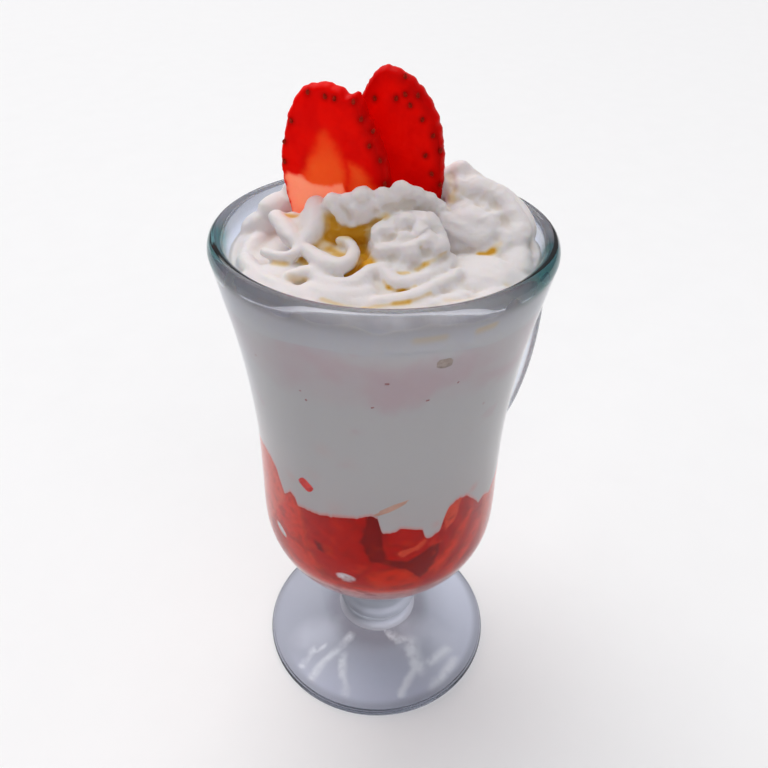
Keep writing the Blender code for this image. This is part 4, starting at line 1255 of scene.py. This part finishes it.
def make_whipped():
    """Fuse the ropes, soften them, lean them on the glass and roughen the surface."""
    piece = build("piped_cream", *joined(cream_shapes()))
    remeshed(piece, CREAM_GRAIN)
    edges = edges_of(piece)
    places = averaged(corners_of(piece), edges, SOFTENING)
    place_corners(piece, places)
    ways = normals_of(piece)
    # smooth at the front left, ragged elsewhere, with torn ridges where it is fluffy
    ragged = soft_step(places[:, 0] + 0.6 * places[:, 1], -19.0, -10.0)
    fluffy = sum(strength * np.exp(-((places - centre) ** 2).sum(1) / reach ** 2)
                 for centre, reach, strength in FLUFFY)
    torn = np.maximum(1 - 3.2 * np.abs(cloud(places, 6.0, 24, 2)), 0)
    rough = (0.08 + 0.10 * ragged) * cloud(places, 4.4, 21) + 0.05 * cloud(places, 1.8, 22)
    rough += fluffy * (0.08 * cloud(places, 2.8, 23) + 0.34 * torn)
    for reach, deep, line in HOLLOWS:
        rough -= deep * np.exp(-(from_line(places, line) ** 2).sum(1) / reach ** 2)
    places += ways * rough[:, None]
    radius = np.hypot(places[:, 0], places[:, 1])
    most = wall_radius(np.minimum(places[:, 2], RIM_HEIGHT - RIM_BEAD))
    below = layer_top(degrees_round(places), PINK_TOP, 2) - places[:, 2]
    most -= TUCK_IN * np.clip(below / TUCK_FADE, 0, 1)
    squeeze = np.minimum(1.0, most / np.maximum(radius, 1e-6))
    places[:, :2] *= squeeze[:, None]
    place_corners(piece, places)
    ways = normals_of(piece)
    # How sunk each place is, which sets the painted shade in the hollows and deepens the golden
    # shade.
    sunk = np.zeros(len(places))
    for rounds, weight in SURROUNDINGS:
        sunk += weight * ((averaged(places, edges, rounds) - places) * ways).sum(1)
    paint(piece, "sunk", sunk)
    paint(piece, "gold", painted_golden_shade(places, sunk))
    return piece


def whipped_finish():
    """Soft white cream with painted shade: warm in its hollows, golden where it folds in deeply,
    and grey where it lies against the glass.
    """
    material, out, place = new_finish("soft_cream")
    across, back, height = split(place)
    gold = painted(place, "gold")
    fine = place.noise(place, 1500.0, 3.0, 0.6)
    broad = place.noise(place, 120.0, 2.0)
    # Painted warm shade in the hollows.
    crevice_shade = (painted(place, "sunk") + (broad - 0.5) * 0.3).rise(0.0, 0.50)
    # Painted golden shade in the deep folds.
    golden_shade_tone = gold.node("ValToRGB", {"stops": GOLDEN_SHADE_TONES}, {0: gold})
    # Painted grey shade where the cream lies against the glass, golden there where the folds meet
    # it.
    painted_wall_shade = height.band(127, 135).blend(CREAM_IN_PAINTED_SHADE, WALL_PAINTED_SHADE)
    painted_wall_shade = gold.rise(0.02, 0.8).blend(painted_wall_shade, WALL_PAINTED_GOLDEN_SHADE)
    at_wall = (from_axis(across, back) - (height - 127 * MM) * WALL_LEAN).band(31.7, 32.4)
    colour = layered(crevice_shade.blend(WHIPPED, CREVICE_PAINTED_SHADE), (gold.rise(0.02, 0.35), golden_shade_tone),
                     (at_wall, painted_wall_shade))
    surface = place.node("BsdfPrincipled", (), {
        "Base Color": colour, "Roughness": 0.5, "Specular IOR Level": 0.25,
        "Normal": relief(fine, 0.25, 0.2), "Subsurface Weight": 0.5,
        "Subsurface Radius": (1.0, 0.72, 0.45), "Subsurface Scale": 0.0025})
    end_finish(out, surface)
    return material


whipped = make_whipped()
whipped.data.materials.append(whipped_finish())
serve(whipped)
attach(whipped, "root")
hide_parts("whipped_cream")

# ---- The strawberry slices ------------------------------------------------------------------
# Two thick slices cut lengthways from ripe berries and stood in the cream.  The left one shows
# its paler core, and both keep a margin of skin with its small dark seeds in dimples.

SLICE_BASE = 138.0
SLICE_THICK = 4.2
SLICE_HALF = SLICE_THICK / 2
# The rounded margin: how far it draws in, how far round it goes in degrees, and its rings.
SLICE_BEVEL = 1.17
BEVEL_SWEEP = 75
BEVEL_RINGS = 11
OUTLINE_STEPS = 240
FACE_RINGS = 26
# Seeds: reach and depth of the dimple, half length, width and thickness, how far each one's
# middle lies below the cut face, and how many steps of the outline lie between those behind.
SEED_DIMPLE = 0.751
DIMPLE_DEPTH = 0.28
SEED_SIZE = (0.55, 0.36, 0.26)
SEED_SUNK = 0.16
SEED_SPACING = 15
# Tones of the flesh, its margin of skin and the seeds, painted shade in the seeds' dimples, and
# the painted glow that the flesh gives off.
SLICE_RED = (0.80, 0.001, 0.0)
SLICE_BRIGHT = (0.92, 0.003, 0.0)
CORE_TONE = (1.0, 0.125, 0.02)
PALE_TONE = (1.0, 0.36, 0.22)
SKIN_TONE = (0.46, 0.0, 0.0)
DIMPLE_PAINTED_SHADE = (0.36, 0.0, 0.0)
CORE_PAINTED_GLOW = (0.14, 0.005, 0.0)
PALE_PAINTED_GLOW = (0.31, 0.06, 0.03)
NO_PAINTED_GLOW = (0.0, 0.0, 0.0)
SEED_DARK = (0.24, 0.004, 0.0)
SEED_LIGHT = (0.40, 0.02, 0.005)
# Outlines across and up from the base in mm, then each slice's place: across, back and the
# degrees that it is turned by.
LEFT_SLICE = [(-9.5, -5.0), (-12.3, 1.0), (-13.8, 8.0), (-14.3, 13.5), (-13.2, 18.5),
              (-11.6, 23.5), (-8.9, 27.4), (-5.0, 28.8), (-1.2, 28.2), (1.0, 27.0),
              (2.8, 27.4), (4.6, 24.0), (7.2, 19.2), (8.9, 14.5), (9.7, 9.0), (9.2, 2.0),
              (5.0, -5.0)]
RIGHT_SLICE = [(-6.0, -5.0), (-10.2, 2.0), (-12.0, 10.0), (-12.0, 18.0), (-10.8, 24.4),
               (-8.4, 29.4), (-5.6, 31.2), (-2.6, 30.4), (0.2, 28.8), (2.4, 26.6),
               (4.5, 23.6), (6.1, 19.6), (6.9, 14.0), (7.1, 8.6), (6.4, 3.2), (2.5, -4.0)]
LEFT_PLACE = (-8.0, 0.0, 18.0)
RIGHT_PLACE = (5.5, 4.8, 12.0)
LEFT_SEEDS = [(-7.2, 27.2), (-3.6, 26.7), (-1.6, 26.5), (-11.1, 21.3), (-13.2, 12.8), (2.3, 26.3),
              (3.9, 23.2), (6.4, 21.2), (7.9, 15.6), (5.6, 18.2), (-12.9, 17.0), (9.0, 11.0)]
RIGHT_SEEDS = [(-1.6, 29.8), (-7.7, 25.2), (-3.3, 25.5), (-1.5, 26.4), (-0.4, 24.4), (1.1, 26.4),
               (2.2, 21.8), (4.6, 18.8), (4.7, 10.9), (6.7, 8.7), (3.2, 14.6), (6.3, 15.9)]


def slice_outline(points):
    """A closed curve of even steps round the slice, with the small bumps of its skin."""
    loop = through(points + [points[0]], 14)[:-1]
    step = np.linalg.norm(np.roll(loop, -1, 0) - loop, axis=1)
    run = np.concatenate([[0], np.cumsum(step)])
    whole = np.vstack([loop, loop[:1]])
    even = np.linspace(0, run[-1], OUTLINE_STEPS + 1)[:-1]
    loop = np.column_stack([np.interp(even, run, whole[:, i]) for i in (0, 1)])
    side = np.roll(loop, -1, 0) - np.roll(loop, 1, 0)
    side /= np.linalg.norm(side, axis=1)[:, None]
    outward = np.column_stack([side[:, 1], -side[:, 0]])
    if ((loop - loop.mean(0)) * outward).sum() < 0:
        outward = -outward
    bumps = 0.26 * cloud(loop, 2.6, 31, 3)
    return loop + outward * bumps[:, None]


def slice_rings(outline):
    """Rings over the front, the skin and the back, as across, depth and up in mm."""
    middle = np.array([outline[:, 0].mean(), outline[:, 1].mean() + 2.0])
    toward = outline - middle
    toward /= np.linalg.norm(toward, axis=1)[:, None]
    face = [middle + (outline - middle) * share for share in np.linspace(0.03, 0.93, FACE_RINGS)]
    rings = [(flat, -SLICE_HALF) for flat in face]
    for angle in np.radians(np.linspace(-BEVEL_SWEEP, BEVEL_SWEEP, BEVEL_RINGS)):
        flat = outline - toward * (SLICE_BEVEL * (1 - math.cos(angle)))
        rings.append((flat, SLICE_HALF * math.sin(angle) / math.sin(math.radians(BEVEL_SWEEP))))
    rings += [(flat, SLICE_HALF) for flat in face[::-1]]
    return np.array([np.column_stack([flat[:, 0], np.full(len(flat), depth), flat[:, 1]])
                     for flat, depth in rings])


def stand(points, place):
    """From across, depth and up on the slice to food coordinates in mm."""
    across, back, degrees = place
    angle = math.radians(-degrees)
    turn = np.array([[math.cos(angle), -math.sin(angle)], [math.sin(angle), math.cos(angle)]])
    flat = points[:, :2] @ turn.T + (across, back)
    return np.column_stack([flat, points[:, 2] + SLICE_BASE])


def dimple(vertices, seeds):
    """How near each vertex is to a seed on its own side, from 0 to 1."""
    near = np.zeros(len(vertices))
    for across, up, depth in seeds:
        offset = vertices[:, [0, 2]] - (across, up)
        same = np.sign(vertices[:, 1]) == np.sign(depth)
        near = np.maximum(near, same * np.exp(-(offset ** 2).sum(1) / SEED_DIMPLE ** 2))
    return near


def all_seeds(outline, shown, seed):
    """The seeds that the front shows, and some round the back."""
    draw = np.random.default_rng(seed)
    seeds = [(across, up, -1.0) for across, up in shown]
    middle = outline.mean(0)
    for i in range(0, len(outline), SEED_SPACING):
        point = outline[i] + (middle - outline[i]) * draw.uniform(0.10, 0.25)
        if point[1] > 2:
            seeds.append((*point, 1.0))
    return seeds


def seed_shapes(seeds, place, seed):
    """Small tear-shaped seeds, half sunk in their dimples."""
    draw = np.random.default_rng(seed)
    long, wide, thick = SEED_SIZE
    shapes = []
    angles = np.linspace(0, 2 * math.pi, 12, endpoint=False)
    for across, up, side in seeds:
        tilt = draw.uniform(-0.5, 0.5)
        rings = []
        for share in np.linspace(-0.98, 0.98, 9):
            reach = math.sqrt(1 - share * share) * (1 - 0.3 * share)
            x, z = wide * reach * np.cos(angles), long * share
            rings.append(np.column_stack([
                across + x * math.cos(tilt) - z * math.sin(tilt),
                side * (SLICE_HALF - SEED_SUNK) + thick * reach * np.sin(angles),
                up + x * math.sin(tilt) + z * math.cos(tilt)]))
        points, sides = closed_rings(rings)
        shapes.append((stand(points, place), sides))
    return shapes


def slice_finish():
    """Moist red flesh, paler in the core and darker under the skin, with painted shade in the
    dimples at the seeds and a painted glow in the core and pale flesh.
    """
    material, out, place = new_finish("berry_slice")
    core, pale, skin, near = [painted(place, name)
                              for name in ("core", "pale", "skin", "near_seed")]
    fine = place.noise(place, 1100.0, 4.0, 0.6)
    broad = place.noise(place, 160.0, 3.0, 0.5).rise(0.35, 0.65)
    streaks = (pale * (0.75 + 0.5 * fine)).rise(0.1, 1.0)
    # The flesh's own tones and its skin, with painted shade in the dimples round the seeds.
    colour = layered(broad.blend(SLICE_RED, SLICE_BRIGHT), (core, CORE_TONE),
                     (streaks, PALE_TONE), (skin * (0.50 + 0.35 * fine), SKIN_TONE),
                     (near * 0.8, DIMPLE_PAINTED_SHADE))
    # Painted glow in the core and the pale flesh.
    painted_glow = layered(core.blend(NO_PAINTED_GLOW, CORE_PAINTED_GLOW), (streaks, PALE_PAINTED_GLOW))
    surface = place.node("BsdfPrincipled", (), {
        "Base Color": colour, "Roughness": 0.42, "Specular IOR Level": 0.04,
        "Normal": relief(fine, 0.35, 0.3), "Subsurface Weight": 0.8,
        "Subsurface Radius": (1.0, 0.16, 0.08), "Subsurface Scale": 0.006,
        "Emission Color": painted_glow, "Emission Strength": 1.0})
    end_finish(out, surface)
    return material


def seed_finish():
    """Dry brown-red seeds."""
    material, out, place = new_finish("berry_seed")
    tone = place.noise(place, 2600.0, 2.0).rise(0.35, 0.65)
    surface = place.node("BsdfPrincipled", (), {
        "Base Color": tone.blend(SEED_DARK, SEED_LIGHT), "Roughness": 0.5,
        "Specular IOR Level": 0.1})
    end_finish(out, surface)
    return material


# On the left slice, across and up: the core, the pale flesh at its foot, and a patch of painted
# light low on the right, in the core's tone and its painted glow.
CORE_SHAPE = [(-10.4, 9.0), (-8.6, 13.4), (-6.8, 17.2), (-5.2, 20.4), (-3.6, 21.0), (-1.4, 18.6),
              (0.2, 15.6), (1.3, 12.0), (1.8, 8.0), (0.5, -5.0), (-9.0, -5.0)]
PALE_SHAPE = [(-13.6, 10.4), (-12.2, 11.2), (-9.0, 10.6), (-7.0, 9.4), (-3.0, 9.8), (0.6, 10.4),
              (1.4, 6.0), (2.0, -5.0), (-12.0, -5.0)]
LOW_PAINTED_LIGHT_SHAPE = [(0.8, 15.0), (4.0, 14.0), (7.4, 10.5), (8.8, 6.0), (8.6, -4.0), (1.0, -4.0)]
flesh, pips = slice_finish(), seed_finish()
for name, node, points, place, shown, cut_open in (
        ("left", "strawberry_slice_left", LEFT_SLICE, LEFT_PLACE, LEFT_SEEDS, True),
        ("right", "strawberry_slice_right", RIGHT_SLICE, RIGHT_PLACE, RIGHT_SEEDS, False)):
    outline = slice_outline(points)
    vertices, faces = closed_rings(slice_rings(outline))
    seeds = all_seeds(outline, shown, 40)
    near = dimple(vertices, seeds)
    spot = vertices[:, [0, 2]]
    wave = 0.12 * cloud(spot, 7.0, 51) + 0.05 * cloud(spot, 2.0, 52)
    on_face = soft_step(np.abs(vertices[:, 1]), 1.2, 2.0)
    vertices[:, 1] += np.sign(vertices[:, 1]) * on_face * (wave - DIMPLE_DEPTH * near)
    piece = build("berry_slice_" + name, stand(vertices, place), faces)
    wobble = np.column_stack([cloud(spot, 5.0, 61), cloud(spot, 5.0, 62)]) * 0.5
    core, pale, low = [soft_step(inside(spot + wobble, shape), outer, inner) * cut_open
                       for shape, outer, inner in ((CORE_SHAPE, -0.5, 2.6),
                                                   (PALE_SHAPE, -0.2, 1.4),
                                                   (LOW_PAINTED_LIGHT_SHAPE, -0.5, 2.0))]
    core_fade = 0.55 + 0.45 * soft_step(-spot[:, 1], -19, -12)
    right_side = soft_step(spot[:, 0], 0.0, 5.0) if cut_open else 1.0
    margin = 1 - soft_step(inside(spot, outline), 0.4, 3.4)
    paint(piece, "core", np.maximum(core * core_fade, low * 0.85))
    paint(piece, "pale", pale)
    paint(piece, "skin", margin * (0.35 + 0.65 * right_side) * (1 - low))
    paint(piece, "near_seed", near)
    piece.data.materials.append(flesh)
    serve(piece)
    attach(piece, "root")
    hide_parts(node)
    sown = build("berry_seeds_" + name, *joined(seed_shapes(seeds, place, 70)))
    sown.data.materials.append(pips)
    serve(sown)
    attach(sown, "root")

# ---- The table, the light and the camera ----------------------------------------------------
# A plain pale table top, one broad soft light above and behind, a weaker one in front and one
# at the left, and the camera where the photograph was taken from.

TABLE_HALF = 4000
TABLE_DROP = -0.05
TABLE_TONES = (0.90, 0.90, 0.91), (0.93, 0.93, 0.94)
SKY_LOW = (0.42, 0.42, 0.44)
SKY_HIGH = (0.84, 0.85, 0.88)
SKY_AHEAD = (0.26, 0.255, 0.26)
SKY_STRENGTH = 0.5
# The camera's place in mm and its turns in radians, in the frame of the food's front.
CAMERA_PLACE = (0.0, -146.12, 202.0)
CAMERA_PITCH = math.radians(36.089)
CAMERA_ROLL = 0.0220
CAMERA_YAW = 0.0046
CAMERA_LENS = 33.73
CAMERA_SENSOR = 36.0
CAMERA_NEAR = 10


def table_finish():
    """Pale matt board with a faint cloudy grain."""
    material, out, place = new_finish("table_top")
    grain = place.noise(place, 40.0, 4.0, 0.6)
    surface = place.node("BsdfPrincipled", (), {
        "Base Color": grain.blend(*TABLE_TONES), "Roughness": 0.6, "Specular IOR Level": 0.2})
    end_finish(out, surface)
    return material


corners = [(across * TABLE_HALF, back * TABLE_HALF, TABLE_DROP)
           for across, back in ((-1, -1), (1, -1), (1, 1), (-1, 1))]
table = build("table_top", corners, [(0, 1, 2, 3)])
table.data.materials.append(table_finish())


def soft_sun(name, place, spread, strength, colour):
    """Even soft light from the direction of a place in food coordinates."""
    lamp = bpy.data.lights.new(name, "SUN")
    lamp.angle = math.radians(spread)
    lamp.energy = strength
    lamp.color = colour
    made = bpy.data.objects.new(name, lamp)
    way = Matrix.Rotation(SERVED_TURN, 3, "Z") @ Vector(place)
    made.rotation_euler = way.to_track_quat("Z", "Y").to_euler()
    bpy.context.scene.collection.objects.link(made)


soft_sun("key", (-0.30, 0.55, 1.0), 60, 1.95, (1.0, 0.985, 0.965))
soft_sun("fill", (0.25, -1.0, 0.75), 70, 0.70, (1.0, 0.985, 0.98))
soft_sun("side", (-1.0, -0.15, 0.35), 60, 0.34, (0.96, 0.975, 1.0))

world = bpy.data.worlds.new("studio")
world.use_nodes = True
tree = world.node_tree
tree.nodes.clear()
sky_place = Wire(tree.nodes.new("ShaderNodeTexCoord").outputs["Generated"])
ahead = sky_place.node("VectorMath", {"operation": "DOT_PRODUCT"}, {
    0: sky_place, 1: (math.sin(SERVED_TURN), -math.cos(SERVED_TURN), 0.0)}, 1)
sky = layered(split(sky_place)[2].rise(0.0, 0.6).blend(SKY_LOW, SKY_HIGH),
              (ahead.rise(0.1, 0.8), SKY_AHEAD))
shown = sky_place.node("Background", (), {"Color": sky, "Strength": SKY_STRENGTH})
end_finish(tree.nodes.new("ShaderNodeOutputWorld"), shown)
bpy.context.scene.world = world
bpy.context.scene.view_settings.view_transform = "Standard"

forward = Vector((math.sin(CAMERA_YAW) * math.cos(CAMERA_PITCH),
                  math.cos(CAMERA_YAW) * math.cos(CAMERA_PITCH), -math.sin(CAMERA_PITCH)))
level = Vector((math.cos(CAMERA_YAW), -math.sin(CAMERA_YAW), 0))
upward = level.cross(forward)
side = math.cos(CAMERA_ROLL) * level + math.sin(CAMERA_ROLL) * upward
top = math.cos(CAMERA_ROLL) * upward - math.sin(CAMERA_ROLL) * level
facing = Matrix((side, top, -forward)).transposed().to_4x4()
facing.translation = Vector(CAMERA_PLACE) * MM
lens = bpy.data.cameras.new("camera")
lens.sensor_width = CAMERA_SENSOR
lens.lens = CAMERA_LENS
lens.clip_start = CAMERA_NEAR * MM
camera = bpy.data.objects.new("camera", lens)
camera.matrix_world = Matrix.Rotation(SERVED_TURN, 4, "Z") @ facing
bpy.context.scene.collection.objects.link(camera)
bpy.context.scene.camera = camera
